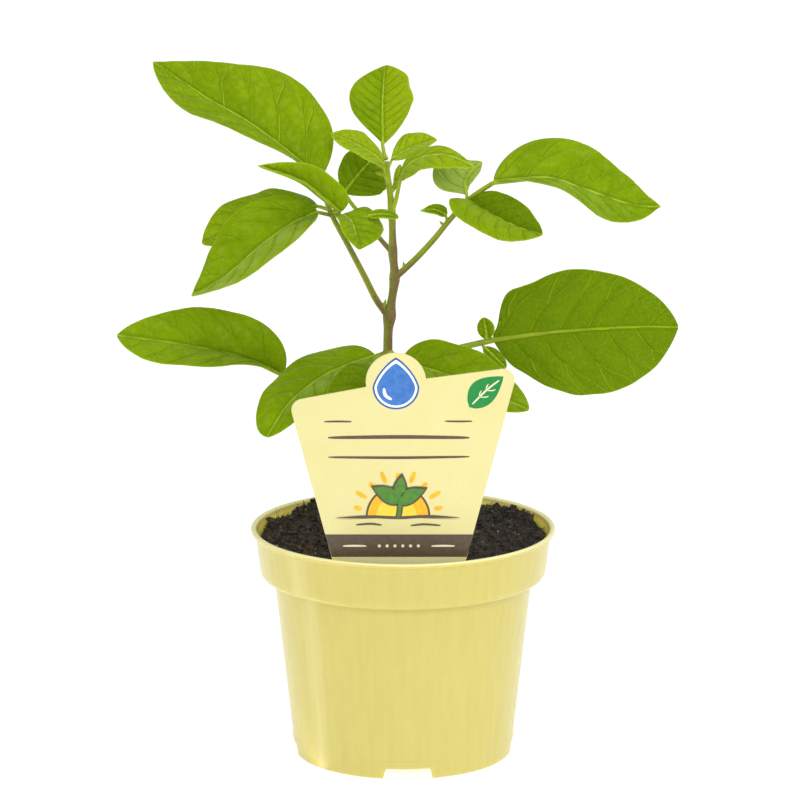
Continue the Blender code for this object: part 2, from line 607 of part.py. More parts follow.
def make_stem():
    stem = stem_tube("stem_rod", 0)
    return finished(stem, "main_stem", material("stem", (0.25, 0.24, 0.05), 0.6))


def make_leaf(name, blades, clearance):
    pieces = []
    for index, values in enumerate(blades):
        pieces.append(stalk_solid(f"stalk_{index}", values))
        pieces.append(blade_solid(f"blade_{index}", values))
    for index, bud in enumerate(BUDS.get(name, ())):
        pieces.append(bud_solid(f"bud_{index}", bud))
    leaf = fused(name + "_whole", pieces)
    cut(leaf, clearance)
    return finished(leaf, name, LEAF_MATERIAL)


clear_scene()
PART = collection("potted_pepino_melon_plant")
CUTTERS = collection("cutters")
LEAF_MATERIAL = material("leaf", (0.21, 0.36, 0.01), 0.45)

make_pot()
make_soil()
make_label()
make_stem()
stem_clearance = as_cutter(stem_tube("stem_clearance", GAP / MM))
for leaf_name, leaf_blades in LEAVES.items():
    make_leaf(leaf_name, leaf_blades, stem_clearance)
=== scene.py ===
"""A young pepino melon plant in its pale yellow nursery pot, dressed for a plain studio picture.

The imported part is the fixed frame. The pieces follow in the order in which a nursery puts them
together: pot, peat, stem, leaves, plant label, then the studio round them.
"""
import math
import random
from types import SimpleNamespace

import bmesh
import bpy
from mathutils import Matrix, Vector, noise


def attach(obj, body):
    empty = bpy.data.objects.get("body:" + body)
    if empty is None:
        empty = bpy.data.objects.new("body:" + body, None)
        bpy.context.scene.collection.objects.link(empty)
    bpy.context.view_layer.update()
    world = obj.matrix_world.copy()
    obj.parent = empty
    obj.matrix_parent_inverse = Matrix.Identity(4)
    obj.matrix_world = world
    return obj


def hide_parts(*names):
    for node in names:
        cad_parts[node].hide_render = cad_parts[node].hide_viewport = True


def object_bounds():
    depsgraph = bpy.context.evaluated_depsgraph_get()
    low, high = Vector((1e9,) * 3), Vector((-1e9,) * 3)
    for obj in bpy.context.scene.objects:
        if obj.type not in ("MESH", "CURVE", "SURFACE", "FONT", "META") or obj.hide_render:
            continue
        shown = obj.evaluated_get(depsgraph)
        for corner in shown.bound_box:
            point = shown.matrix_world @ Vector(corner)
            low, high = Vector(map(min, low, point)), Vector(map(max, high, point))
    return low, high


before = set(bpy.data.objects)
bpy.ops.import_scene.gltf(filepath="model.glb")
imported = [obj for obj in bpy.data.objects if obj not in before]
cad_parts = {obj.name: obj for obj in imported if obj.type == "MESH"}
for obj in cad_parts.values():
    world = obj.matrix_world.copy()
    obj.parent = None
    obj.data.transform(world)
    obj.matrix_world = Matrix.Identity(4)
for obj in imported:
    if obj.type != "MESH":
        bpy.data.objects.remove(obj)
cad_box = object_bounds()


# Camera: it stands 1.9 m in front of the pot and looks a little down on it, with the long lens
# that fits the photograph's rim and foot.
CAMERA_DISTANCE = 1.9
CAMERA_ELEVATION = math.radians(12.9)
CAMERA_LENS = 218.3
CAMERA_TARGET = Vector((-0.001255, 0, 0.1419))

camera = bpy.data.objects.new("camera", bpy.data.cameras.new("camera"))
camera.data.lens = CAMERA_LENS
camera.data.clip_end = 50
camera.rotation_euler = (math.pi / 2 - CAMERA_ELEVATION, 0, 0)
camera.location = CAMERA_TARGET + CAMERA_DISTANCE * Vector(
    (0, -math.cos(CAMERA_ELEVATION), math.sin(CAMERA_ELEVATION)))
bpy.context.scene.collection.objects.link(camera)
bpy.context.scene.camera = camera


# Pot: injection-moulded polypropylene, pale yellow with a satin skin. It has a thin flared lip, a
# collar that other pots nest in, faint ribs down its body and four notches in its foot ring.
MM = 0.001
LIP_RADIUS = 60
LIP_TOP = 91
LIP_HEIGHT = 1.5
LIP_WIDTH = 2.0
LIP_FLARE = 4.0
COLLAR_RADIUS = 58
COLLAR_FOOT_RADIUS = 56.2
COLLAR_FOOT = 74
BODY_TOP = 71
INNER_SHELF = 71.8
BODY_RADIUS = 50.85
FOOT_RADIUS = 43
FOOT_WIDTH = 2.4
WALL = 1.3
FLOOR_UNDERSIDE = 4.8
POT_STEPS = 496
SPIN_PARTS = 8
RIB_COUNT = 62
RIB_DEPTH = 0.05
RIB_SPAN = (9, 67)
RIB_FADE = 3
NOTCH_COUNT = 4
NOTCH_TURN = math.radians(2.5)
NOTCH_WIDTH = 17.5
NOTCH_HEIGHT = 4.3
NOTCH_SPREAD = 0.22
NOTCH_LINE = (6.6, 0.4, 0.28)
NOTCH_LINE_REACH = math.radians(20)
DRAIN_RADIUS = 3.2
DRAIN_PLACE = 33
# The inner wall's radius at heights up the pot
INNER_WALL = ((0, FOOT_RADIUS - WALL), (INNER_SHELF, BODY_RADIUS - WALL),
              (COLLAR_FOOT + WALL, COLLAR_FOOT_RADIUS - WALL), (LIP_TOP, COLLAR_RADIUS - WALL))
finishes = []


def linear(red, green, blue):
    """A colour as a screen shows it, 0 to 255, in the linear values that a shader takes."""
    return tuple(c / 12.92 if c <= 0.04045 else ((c + 0.055) / 1.055) ** 2.4
                 for c in (red / 255, green / 255, blue / 255)) + (1.0,)


def plug(node, sockets):
    """Joins other nodes' outputs to a node's sockets, or sets the sockets' own values."""
    for name, value in sockets.items():
        if isinstance(value, bpy.types.NodeSocket):
            finishes[-1].node_tree.links.new(value, node.inputs[name])
        else:
            node.inputs[name].default_value = value


def coat(**sockets):
    """The newest material with its shader's sockets set, an underscore standing for each space."""
    shader = finishes[-1].node_tree.nodes["Principled BSDF"]
    plug(shader, {name.replace("_", " "): value for name, value in sockets.items()})
    return finishes[-1]


def new_finish(name, roughness):
    """Starts a material, which takes the nodes that are made from here on."""
    finishes.append(bpy.data.materials.new(name))
    finishes[-1].use_nodes = True
    coat(Roughness=roughness)


def add_node(kind, sockets, **settings):
    """A node of the newest material with its settings and its sockets, by the sockets' names or numbers."""
    node = finishes[-1].node_tree.nodes.new("ShaderNode" + kind)
    for name, value in settings.items():
        setattr(node, name, value)
    plug(node, sockets)
    return node


def place_of(scale=(1, 1, 1)):
    """Object coordinates in millimetres, drawn out by a scale."""
    coords = add_node("TexCoord", {}).outputs["Object"]
    return add_node("Mapping", {"Vector": coords, "Scale": [1 / MM * part for part in scale]}).outputs["Vector"]


def axes_of(vector):
    """A vector's three parts."""
    return add_node("SeparateXYZ", {"Vector": vector}).outputs[:]


def noise_of(place, size, detail=2.0, roughness=0.5):
    """Cloudy noise, 0 to 1, with clouds of a size in millimetres."""
    sockets = {"Vector": place, "Scale": 1 / size, "Detail": detail, "Roughness": roughness}
    return add_node("TexNoise", sockets).outputs["Fac"]


def ranged(value, low, high, to_low=0.0, to_high=1.0, kind="LINEAR"):
    """A value moved from one range to another and held inside it."""
    sockets = {"Value": value, "From Min": low, "From Max": high, "To Min": to_low, "To Max": to_high}
    return add_node("MapRange", sockets, interpolation_type=kind).outputs["Result"]


def sum_of(operation, first, second=0.0, third=0.0):
    """One step of arithmetic on values."""
    return add_node("Math", {0: first, 1: second, 2: third}, operation=operation).outputs[0]


def less(first, second):
    """One value less another."""
    return sum_of("SUBTRACT", first, second)


def times(product, *factors):
    """Values multiplied together."""
    for factor in factors:
        product = sum_of("MULTIPLY", product, factor)
    return product


def mixed(share, first, second):
    """Two colours mixed by a share, 0 to 1; a plain colour is given as a screen shows it."""
    first, second = (linear(*tone) if isinstance(tone, tuple) else tone for tone in (first, second))
    return add_node("Mix", {0: share, 6: first, 7: second}, data_type="RGBA").outputs[2]


def layered(tone, *layers):
    """A colour under layers of others, each with its share."""
    for share, colour in layers:
        tone = mixed(share, tone, colour)
    return tone


def bumped(height, distance, strength=1.0):
    """Fine relief from a height, 0 to 1, as deep as a distance in millimetres."""
    return add_node("Bump", {"Height": height, "Distance": distance * MM, "Strength": strength}).outputs["Normal"]


def as_mesh(bm, name):
    """What was built, as a finished mesh."""
    mesh = bpy.data.meshes.new(name)
    bm.to_mesh(mesh)
    bm.free()
    return mesh


def as_object(bm, name, *coats):
    """The mesh as an object in the scene, with its materials."""
    thing = bpy.data.objects.new(name, as_mesh(bm, name))
    for finish in coats:
        thing.data.materials.append(finish)
    bpy.context.scene.collection.objects.link(thing)
    return thing


def as_piece(bm, name, coats, slot, *nodes):
    """The mesh as a finished piece on the pot's body, with its materials and the nodes it stands for."""
    piece = as_object(bm, name, *coats)
    piece.data.shade_smooth()
    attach(piece, "root")
    if nodes:
        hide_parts(*nodes)
    return piece


def between(stops, value):
    """A value read off stops, straight between one and the next."""
    for (low, low_value), (high, high_value) in zip(stops, stops[1:]):
        if value <= high:
            return low_value + (high_value - low_value) * min(max((value - low) / (high - low), 0), 1)
    return stops[-1][1]


def drawn_line(bm, corners):
    """Corners, a radius and a height in millimetres each, joined into a section that is spun afterwards."""
    verts = [bm.verts.new(Vector((radius, 0, height)) * MM) for radius, height in corners]
    for near, far in zip(verts, verts[1:]):
        bm.edges.new((near, far))
    return verts


def spun(bm, steps):
    """A section spun once round the pot's axis, closed on the axis, its faces pointing outwards."""
    part = math.tau / SPIN_PARTS
    bmesh.ops.spin(bm, geom=bm.verts[:] + bm.edges[:], cent=(0, 0, 0), axis=(0, 0, 1), angle=part,
                   steps=steps // SPIN_PARTS)
    bmesh.ops.spin(bm, geom=bm.verts[:] + bm.edges[:] + bm.faces[:], cent=(0, 0, 0), axis=(0, 0, 1),
                   angle=math.tau - part, steps=SPIN_PARTS - 1, use_duplicate=True)
    bmesh.ops.remove_doubles(bm, verts=bm.verts, dist=0.002 * MM)
    bmesh.ops.recalc_face_normals(bm, faces=bm.faces)


def pot_plastic():
    """Satin polypropylene with a fine moulded skin. Inside its collar it is painted paler, standing in for the light
    that comes through the thin wall, and the top of its lip is painted paler as a highlight.
    """
    new_finish("pale_yellow_polypropylene", 0.3)
    place = place_of()
    streaks = noise_of(place_of((1, 1, 0.05)), 2.6, 3.0)
    across, back, height = axes_of(place)
    flat = add_node("CombineXYZ", {"X": across, "Y": back}).outputs["Vector"]
    radius = add_node("VectorMath", {0: flat}, operation="LENGTH").outputs["Value"]
    middle = ranged(height, COLLAR_FOOT, LIP_TOP - LIP_FLARE, COLLAR_FOOT_RADIUS - WALL / 2, COLLAR_RADIUS - WALL / 2)
    # Painted light: the inner wall above the collar's foot is coloured paler for the light that comes through the wall
    inside = times(ranged(less(radius, middle), 0.25, -0.25), ranged(height, COLLAR_FOOT + 2, COLLAR_FOOT + 4))
    # Painted highlight: a pale band along the top of the lip, where it catches the light from above
    lip = ranged(height, LIP_TOP - 0.9, LIP_TOP - 0.35, 0.0, 0.85)
    body = mixed(ranged(streaks, 0.3, 0.7), (211, 198, 109), (215, 203, 115))
    return coat(Base_Color=layered(body, (inside, (252, 238, 130)), (lip, (246, 240, 186))),
                Roughness=ranged(streaks, 0.3, 0.7, 0.22, 0.26), IOR=1.49, Subsurface_Weight=0.6,
                Subsurface_Radius=(1.0, 0.9, 0.35), Subsurface_Scale=2.5 * MM,
                Normal=bumped(noise_of(place, 0.5, 2.0), 0.006, 0.3))


def pot_section():
    """The wall's corners in millimetres, each a radius, a height and the radius that rounds it."""
    floor, shelf = FLOOR_UNDERSIDE + WALL, COLLAR_FOOT + WALL
    return [(0, floor, 0), (between(INNER_WALL, floor) - 1.5, floor, 0),
            (between(INNER_WALL, floor + 1.5), floor + 1.5, 0), (BODY_RADIUS - WALL, INNER_SHELF, 1.2),
            (COLLAR_FOOT_RADIUS - WALL, shelf, 1.2), (COLLAR_RADIUS - WALL, LIP_TOP - LIP_FLARE, 1.6),
            (LIP_RADIUS - LIP_WIDTH, LIP_TOP, 0.8), (LIP_RADIUS, LIP_TOP, 0.8),
            (LIP_RADIUS, LIP_TOP - LIP_HEIGHT, 0.65), (COLLAR_RADIUS + 0.5, LIP_TOP - LIP_HEIGHT - 0.8, 0.7),
            (COLLAR_RADIUS, LIP_TOP - LIP_FLARE - 0.5, 1.2), (COLLAR_FOOT_RADIUS - 0.1, BODY_TOP + 0.6, 2.5),
            (BODY_RADIUS, BODY_TOP, 0.6), (FOOT_RADIUS + 0.05, 0.5, 0.3), (FOOT_RADIUS - 0.4, 0, 0.2),
            (FOOT_RADIUS - FOOT_WIDTH, 0, 0.4),
            (FOOT_RADIUS - FOOT_WIDTH, FLOOR_UNDERSIDE, 0.3), (0, FLOOR_UNDERSIDE, 0)]


def graded(bm, low, high, longest):
    """Edges of the section's outside split where they are longer than a length, between two heights."""
    for edge in list(bm.edges):
        near, far = (vert.co / MM for vert in edge.verts)
        outside = min(near.x, far.x) > FOOT_RADIUS - 0.6 and abs(near.z - far.z) > 3 * abs(near.x - far.x)
        cuts = int(edge.calc_length() / (longest * MM))
        if outside and cuts and min(near.z, far.z) >= low - 0.01 and max(near.z, far.z) <= high + 0.01:
            bmesh.ops.subdivide_edges(bm, edges=[edge], cuts=cuts)


def rib_and_line(vert):
    """Moves a point of the body's outside for the ribs and for the thin raised line over each notch."""
    height = vert.co.z / MM
    radius = math.hypot(vert.co.x, vert.co.y) / MM
    outside = FOOT_RADIUS + (BODY_RADIUS - FOOT_RADIUS) * height / BODY_TOP
    if abs(radius - outside) > 0.5 or height > BODY_TOP - 1:
        return
    turn = math.atan2(vert.co.x, -vert.co.y)
    fade = min(max((height - RIB_SPAN[0]) / RIB_FADE, 0), 1) * min(max((RIB_SPAN[1] - height) / RIB_FADE, 0), 1)
    shift = -RIB_DEPTH * fade * (0.5 - 0.5 * math.cos(RIB_COUNT * turn))
    quarter_turn = math.tau / NOTCH_COUNT
    line_height, line_width, line_depth = NOTCH_LINE
    if abs((turn + NOTCH_TURN + quarter_turn / 2) % quarter_turn - quarter_turn / 2) < NOTCH_LINE_REACH:
        shift += line_depth * math.exp(-((height - line_height) / line_width) ** 2)
    vert.co.x *= 1 + shift / radius
    vert.co.y *= 1 + shift / radius


def cut_away(piece, cutters):
    """Cuts solids out of a piece and removes them."""
    group = bpy.data.collections.new("cutters")
    for cutter in cutters:
        group.objects.link(cutter)
    cut = piece.modifiers.new("cut", "BOOLEAN")
    cut.operand_type = "COLLECTION"
    cut.collection = group
    cut.solver = "EXACT"
    bpy.context.view_layer.update()
    mesh = bpy.data.meshes.new_from_object(piece.evaluated_get(bpy.context.evaluated_depsgraph_get()))
    piece.modifiers.clear()
    piece.data = mesh
    for cutter in cutters:
        bpy.data.objects.remove(cutter)
    bpy.data.collections.remove(group)


pot_mesh = bmesh.new()
section = pot_section()
for section_vert, (_, _, rounding) in zip(drawn_line(pot_mesh, [corner[:2] for corner in section]), section):
    if rounding:
        bmesh.ops.bevel(pot_mesh, geom=[section_vert], offset=rounding * MM, offset_type="OFFSET", segments=4,
                        profile=0.5, affect="VERTICES", material=-1)
graded(pot_mesh, 0, BODY_TOP, 10.0)
graded(pot_mesh, 0, 12.5, 0.35)
graded(pot_mesh, 9, BODY_TOP, 3.5)
spun(pot_mesh, POT_STEPS)
for pot_vert in pot_mesh.verts:
    rib_and_line(pot_vert)
pot = as_piece(pot_mesh, "nursery_pot", [pot_plastic()], "pot", "pot")
pot_cutters = []
for quarter in range(NOTCH_COUNT):
    around = Matrix.Rotation(math.tau * quarter / NOTCH_COUNT + NOTCH_TURN, 4, "Z")
    notch = bmesh.new()
    notch_size = (NOTCH_WIDTH, 3 * FOOT_WIDTH, NOTCH_HEIGHT + 4)
    notch_place = Matrix.Translation(Vector((0, -(FOOT_RADIUS - FOOT_WIDTH / 2), NOTCH_HEIGHT / 2 - 2)) * MM)
    bmesh.ops.create_cube(notch, size=MM, matrix=notch_place @ Matrix.Diagonal((*notch_size, 1)))
    for notch_vert in notch.verts:
        if notch_vert.co.z < 0:
            notch_vert.co.x *= 1 + NOTCH_SPREAD
    bmesh.ops.transform(notch, matrix=around, verts=notch.verts)
    upright = [e for e in notch.edges if min(v.co.z for v in e.verts) > 3 * MM
               and abs(e.calc_length() - 3 * FOOT_WIDTH * MM) < 0.01 * MM]
    bmesh.ops.bevel(notch, geom=upright, offset=0.8 * MM, offset_type="OFFSET", segments=4, profile=0.5,
                    affect="EDGES", material=-1)
    drain = bmesh.new()
    drain_place = Matrix.Translation(Vector((0, -DRAIN_PLACE, FLOOR_UNDERSIDE)) * MM)
    bmesh.ops.create_cone(drain, cap_ends=True, segments=40, radius1=DRAIN_RADIUS * MM,
                          radius2=DRAIN_RADIUS * MM, depth=8 * MM, matrix=around @ drain_place)
    for cutter_name, cutter_mesh in (("notch", notch), ("drain", drain)):
        pot_cutters.append(bpy.data.objects.new(cutter_name, as_mesh(cutter_mesh, cutter_name)))
cut_away(pot, pot_cutters)
pot.data.set_sharp_from_angle(angle=math.radians(40))


# Peat: dark, damp potting compost, crumbled and pressed in by hand nearly up to the lip. Its top is
# a rough bed with loose broken crumbs, splinters, chips of bark, and fibres that stand up at the back.
SOIL_EDGE = 86.8
SOIL_CROWN = 1.2
SOIL_LUMP = 11
SOIL_RELIEF = 1.6
SOIL_GAP = 0.2
SOIL_FOOT = 8
SOIL_HEAPS = ((45, 28, 2.6, 11), (-38, 38, 1.2, 12))
BED_RINGS = 110
BED_STEPS = 344
# The hollow pressed into the peat before the label: its middle, across and to the front, its reach both
# ways and its depth; and the strips there that are bare of crumbs and of fibres: half width and back edge
PRESSED_MIDDLE = -1.7
PRESSED_FRONT = -52
PRESSED_REACH = (24, 6)
PRESSED_DEPTH = 1.4
CRUMB_FREE = (29, -45)
FIBRE_FREE = (32, -40)
CRUMB_KINDS = 28
CRUMB_COUNT = 5200
SPLINTER_COUNT = 2600
SPIKE_COUNT = 420
CHIP_COUNT = 110
GRAIN_COUNT = 60
FIBRE_COUNT = 240
SOIL_SEED = 7


def soil_height(x, y):
    """Height of the bed in millimetres: the plug's low crown with its lumps and heaps."""
    lump = noise.fractal(Vector((x, y, 0)) / SOIL_LUMP, 0.8, 2.0, 3)
    inward = 1 - (math.hypot(x, y) / (soil_wall - 0.5)) ** 2
    heaps = sum(rise * math.exp(-((x - u) ** 2 + (y - v) ** 2) / reach ** 2) for u, v, rise, reach in SOIL_HEAPS)
    return SOIL_EDGE + SOIL_CROWN * inward + SOIL_RELIEF * lump + heaps


def rough_height(x, y):
    """The bed with its crumbly grain, pressed down before the label."""
    grain = noise.fractal(Vector((x, y, 3)) / 2.1, 0.75, 2.0, 5)
    clods = abs(noise.noise(Vector((x, y, 9)) / 4.2))
    fade = min(1, soil_wall - math.hypot(x, y))
    wide, deep = PRESSED_REACH
    pressed = math.exp(-((x - PRESSED_MIDDLE) / wide) ** 6 - ((y - PRESSED_FRONT) / deep) ** 4)
    return soil_height(x, y) + fade * (0.8 * grain + 1.5 * (0.3 - clods)) - PRESSED_DEPTH * pressed


def before_label(x, y, half_width, back):
    """Whether a place lies on a strip before the label."""
    return abs(x - PRESSED_MIDDLE) < half_width and y < back


def peat_finish():
    """Damp black-brown peat with grey-brown and rusty flecks and a few pale grains, painted darker towards the right
    as shade.
    """
    new_finish("damp_peat", 0.85)
    place = place_of()
    coarse = noise_of(place, 4.0, 6.0, 0.7)
    fine = noise_of(place, 0.7, 4.0, 0.75)
    bark = noise_of(place_of((0.45, 1, 1)), 2.2, 2.0)
    across = axes_of(place)[0]
    tone = layered(mixed(ranged(coarse, 0.38, 0.62), (31, 27, 24), (67, 58, 49)),
                   (ranged(fine, 0.52, 0.68, 0.0, 0.9), (118, 104, 86)),
                   (ranged(fine, 0.46, 0.32, 0.0, 0.8), (22, 18, 15)),
                   (times(ranged(bark, 0.55, 0.65), ranged(across, -5.0, -35.0, 0.15, 0.85)), (110, 82, 56)),
                   # Painted shade: the peat darkens towards the right
                   (ranged(across, 10.0, 30.0, 0.0, 0.3), (27, 23, 20)))
    return coat(Base_Color=tone, Roughness=ranged(fine, 0.3, 0.7, 0.55, 0.95), Normal=bumped(fine, 0.6))


def loose_finish(name, dark, light, roughness):
    """A dry loose thing in the peat, from one colour to another along its length."""
    new_finish(name, roughness)
    tone = noise_of(place_of(), 3.0, 3.0, 0.6)
    return coat(Base_Color=mixed(ranged(tone, 0.35, 0.65), dark, light), Normal=bumped(tone, 0.2, 0.6))


peat = peat_finish()
dice = random.Random(SOIL_SEED)
soil_wall = between(INNER_WALL, SOIL_EDGE)
bed_edge = soil_wall - SOIL_GAP
bed = bmesh.new()
bed_line = [(0.001, SOIL_EDGE)] + [(bed_edge * ring / BED_RINGS, SOIL_EDGE) for ring in range(1, BED_RINGS + 1)]
bed_line += [(between(INNER_WALL, height) - SOIL_GAP, height) for height in (INNER_SHELF, SOIL_FOOT)]
drawn_line(bed, bed_line + [(0.001, SOIL_FOOT)])
spun(bed, BED_STEPS)
for bed_vert in bed.verts:
    if bed_vert.co.z > (SOIL_EDGE - 0.1) * MM:
        bed_vert.co.z = rough_height(bed_vert.co.x / MM, bed_vert.co.y / MM) * MM
as_piece(bed, "peat_bed", [peat], "soil", "potting_soil")


def broken_crumb(fineness, roughness):
    """One crumb, a millimetre in radius, as a mesh of its own: a ball broken up into flat facets."""
    crumb = bmesh.new()
    bmesh.ops.create_icosphere(crumb, subdivisions=fineness, radius=MM)
    shift = Vector((dice.random(), dice.random(), dice.random())) * 40
    for vert in crumb.verts:
        vert.co *= 1 + roughness * noise.noise(vert.co * 1.5 / MM + shift) + 0.3 * dice.uniform(-1, 1)
    return as_mesh(crumb, "crumb")


def strewn(bm, mesh, place, size, heading=None):
    """Adds a copy of a small mesh, scaled and turned at random, or turned flat to a heading."""
    if heading is None:
        turn = Matrix.Rotation(dice.uniform(0, math.tau), 4, Vector((dice.random() - 0.5, dice.random() - 0.5, 0.4)))
    else:
        turn = Matrix.Rotation(heading, 4, "Z") @ Matrix.Rotation(dice.uniform(-0.35, 0.35), 4, "Y")
    stand = Matrix.Translation(Vector(place) * MM) @ turn @ Matrix.Diagonal((*size, 1))
    mesh.transform(stand)
    bm.from_mesh(mesh)
    mesh.transform(stand.inverted())


def polar(reach, turn):
    """Across and back of a place, from how far out it lies and its turn in radians."""
    return reach * math.cos(turn), reach * math.sin(turn)


def spot_on_bed(margin):
    """A random place on the bed, some way from the pot's wall."""
    return polar((bed_edge - margin) * math.sqrt(dice.random()), dice.uniform(0, math.tau))


crumb_kinds = [broken_crumb(1, 0.7) for _ in range(CRUMB_KINDS)]
clod_kinds = [broken_crumb(2, 0.8) for _ in range(CRUMB_KINDS)]
crumbs = bmesh.new()
for crumb_index in range(CRUMB_COUNT):
    x, y = spot_on_bed(1.0)
    if dice.random() < 0.2:
        x, y = polar(dice.uniform(bed_edge - 4, bed_edge - 1.0), dice.uniform(0, math.tau))
    if not before_label(x, y, *CRUMB_FREE):
        size = min(0.2 + dice.expovariate(3.0), 2.0, bed_edge + 0.3 - math.hypot(x, y))
        kinds = clod_kinds if size > 0.85 else crumb_kinds
        z = rough_height(x, y) + size * dice.uniform(-0.2, 0.5)
        strewn(crumbs, kinds[crumb_index % CRUMB_KINDS], (x, y, z),
               (size * dice.uniform(0.8, 1.5), size * dice.uniform(0.7, 1.1), size * dice.uniform(0.5, 1.0)))
as_piece(crumbs, "peat_crumbs", [peat], "soil").data.shade_flat()

splinters = bmesh.new()
for splinter_index in range(SPLINTER_COUNT):
    x, y = polar(bed_edge - abs(dice.gauss(0, 7)) - 0.8, dice.uniform(0, math.tau))
    if not before_label(x, y, *CRUMB_FREE):
        slim = dice.uniform(0.1, 0.24)
        strewn(splinters, crumb_kinds[splinter_index % CRUMB_KINDS],
               (x, y, rough_height(x, y) + dice.uniform(0.1, 0.7)), (slim, slim, dice.uniform(0.4, 1.7)))
for spike_index in range(SPIKE_COUNT):
    x, y = polar(bed_edge - dice.uniform(0.7, 3.0), dice.uniform(0.1, math.pi - 0.1))
    slim = dice.uniform(0.12, 0.3)
    strewn(splinters, crumb_kinds[spike_index % CRUMB_KINDS], (x, y, rough_height(x, y) + dice.uniform(0.3, 1.0)),
           (slim, slim, dice.uniform(0.5, 1.5)))
as_piece(splinters, "peat_splinters", [peat], "soil").data.shade_flat()

chips = bmesh.new()
for chip_index in range(CHIP_COUNT):
    x, y = spot_on_bed(4.0)
    size = (dice.uniform(0.7, 2.3), dice.uniform(0.25, 0.5), 0.22)
    strewn(chips, crumb_kinds[chip_index % CRUMB_KINDS], (x, y, rough_height(x, y) + 0.55), size,
           dice.uniform(0, math.tau))
as_piece(chips, "bark_chips", [loose_finish("bark_chip", (74, 56, 42), (126, 98, 70), 0.8)], "soil").data.shade_flat()

grains = bmesh.new()
for grain_index in range(GRAIN_COUNT):
    x, y = spot_on_bed(2.0)
    size = [dice.uniform(0.16, 0.34)] * 3
    strewn(grains, crumb_kinds[grain_index % CRUMB_KINDS], (x, y, rough_height(x, y) + 0.7), size)
grain_finish = loose_finish("sand_grain", (168, 158, 142), (206, 198, 184), 0.6)
as_piece(grains, "sand_grains", [grain_finish], "soil").data.shade_flat()


def grow_tube(bm, places, radii, sides):
    """A round stalk drawn out ring by ring along places in metres, its radii in millimetres."""
    along = [(b - a).normalized() for a, b in zip(places, places[1:])]
    along = [along[0]] + [(a + b).normalized() for a, b in zip(along, along[1:])] + [along[-1]]
    turn = along[0].to_track_quat("Z", "Y")
    rings = []
    for index, (place, way, radius) in enumerate(zip(places, along, radii)):
        if index:
            turn = along[index - 1].rotation_difference(way) @ turn
        rings.append(Matrix.Translation(place) @ turn.to_matrix().to_4x4() @ Matrix.Scale(radius * MM, 4))
    verts = bmesh.ops.create_circle(bm, segments=sides, radius=1, matrix=rings[0])["verts"]
    made = list(verts)
    edges = first = list(dict.fromkeys(edge for vert in verts for edge in vert.link_edges))
    for near, far in zip(rings, rings[1:]):
        out = bmesh.ops.extrude_edge_only(bm, edges=edges)["geom"]
        verts = [part for part in out if isinstance(part, bmesh.types.BMVert)]
        ends = set(verts)
        edges = [part for part in out if isinstance(part, bmesh.types.BMEdge) and set(part.verts) <= ends]
        bmesh.ops.transform(bm, matrix=far @ near.inverted(), verts=verts)
        made += verts
    for rim in (first, edges):
        bmesh.ops.edgeloop_fill(bm, edges=rim)
    bmesh.ops.recalc_face_normals(bm, faces=faces_of(made))
    return made


def faces_of(verts):
    """The faces at vertices, each once."""
    return list(dict.fromkeys(face for vert in verts for face in vert.link_faces))


def add_fibre(bm, places, radii, sides):
    """Adds a thin closed tube along places."""
    small = bmesh.new()
    grow_tube(small, places, radii, sides)
    mesh = as_mesh(small, "fibre")
    bm.from_mesh(mesh)
    bpy.data.meshes.remove(mesh)


# The twigs and rootlets that stand up against the pot's back wall: where they stand, in millimetres,
# how far they go to the right and up, and their radius at the foot
TWIGS = (((-40.4, 36), (0.7, 3.8), 0.5), ((-40.6, 36), (-2.6, 2.6), 0.2), ((-34.5, 41), (-2.9, 2.8), 0.5),
         ((-50.2, 22), (1.2, 6.2), 0.11), ((-49.2, 22.2), (-1.8, 7.4), 0.08), ((-47, 27), (0.5, 2.6), 0.3),
         ((-44, 31), (-0.4, 2.2), 0.25), ((-43, 32), (3.4, 1.6), 0.09), ((-52.6, 13), (0.3, 2.0), 0.3),
         ((-38, 38), (1.4, 2.0), 0.22), ((31.4, 43), (-0.3, 4.4), 0.6), ((32.6, 42.6), (0.9, 2.2), 0.5),
         ((33.2, 42), (3.8, 3.4), 0.17), ((34.4, 42), (1.2, 1.8), 0.22), ((40, 37), (0.4, 1.8), 0.3),
         ((42, 35), (-0.6, 1.8), 0.24), ((50.5, 21), (1.0, 2.0), 0.2), ((53.4, 10), (0.3, 1.5), 0.25))

fibres = bmesh.new()
for (x, y), (across, rise), radius in TWIGS:
    foot = Vector((x, y, rough_height(x, y) - 0.3))
    places, radii = [], []
    for share in (step / 6 for step in range(7)):
        sway = 0.25 * math.sin(7 * share + x) * math.hypot(across, rise) / 4
        places.append((foot + Vector((across * share + sway, -0.6 * share, rise * share))) * MM)
        radii.append(radius * (1 - 0.72 * share))
    add_fibre(fibres, places, radii, 5)
for _ in range(FIBRE_COUNT):
    x, y = spot_on_bed(3.0)
    if before_label(x, y, *FIBRE_FREE):
        continue
    rise, length = dice.uniform(-0.08, 0.4), dice.uniform(1.8, 8.0)
    heading, radius = dice.uniform(0, math.tau), dice.uniform(0.05, 0.13)
    point = Vector((x, y, rough_height(x, y) + 0.2))
    places, radii = [point * MM], [radius]
    for step in range(6):
        heading += dice.uniform(-0.6, 0.6)
        level = math.sqrt(max(0.05, 1 - rise * rise))
        point = point + Vector((*polar(level, heading), rise)) * length / 6
        inward = min(1, (bed_edge - 1.2) / max(math.hypot(point.x, point.y), 0.1))
        point.x *= inward
        point.y *= inward
        point.z = max(point.z, rough_height(point.x, point.y) + 0.45)
        places.append(point * MM)
        radii.append(radius * (1 - step / 8))
    add_fibre(fibres, places, radii, 4)
as_piece(fibres, "peat_fibres", [loose_finish("peat_fibre", (38, 30, 24), (132, 112, 88), 0.8)], "soil")
for small_mesh in crumb_kinds + clod_kinds:
    bpy.data.meshes.remove(small_mesh)


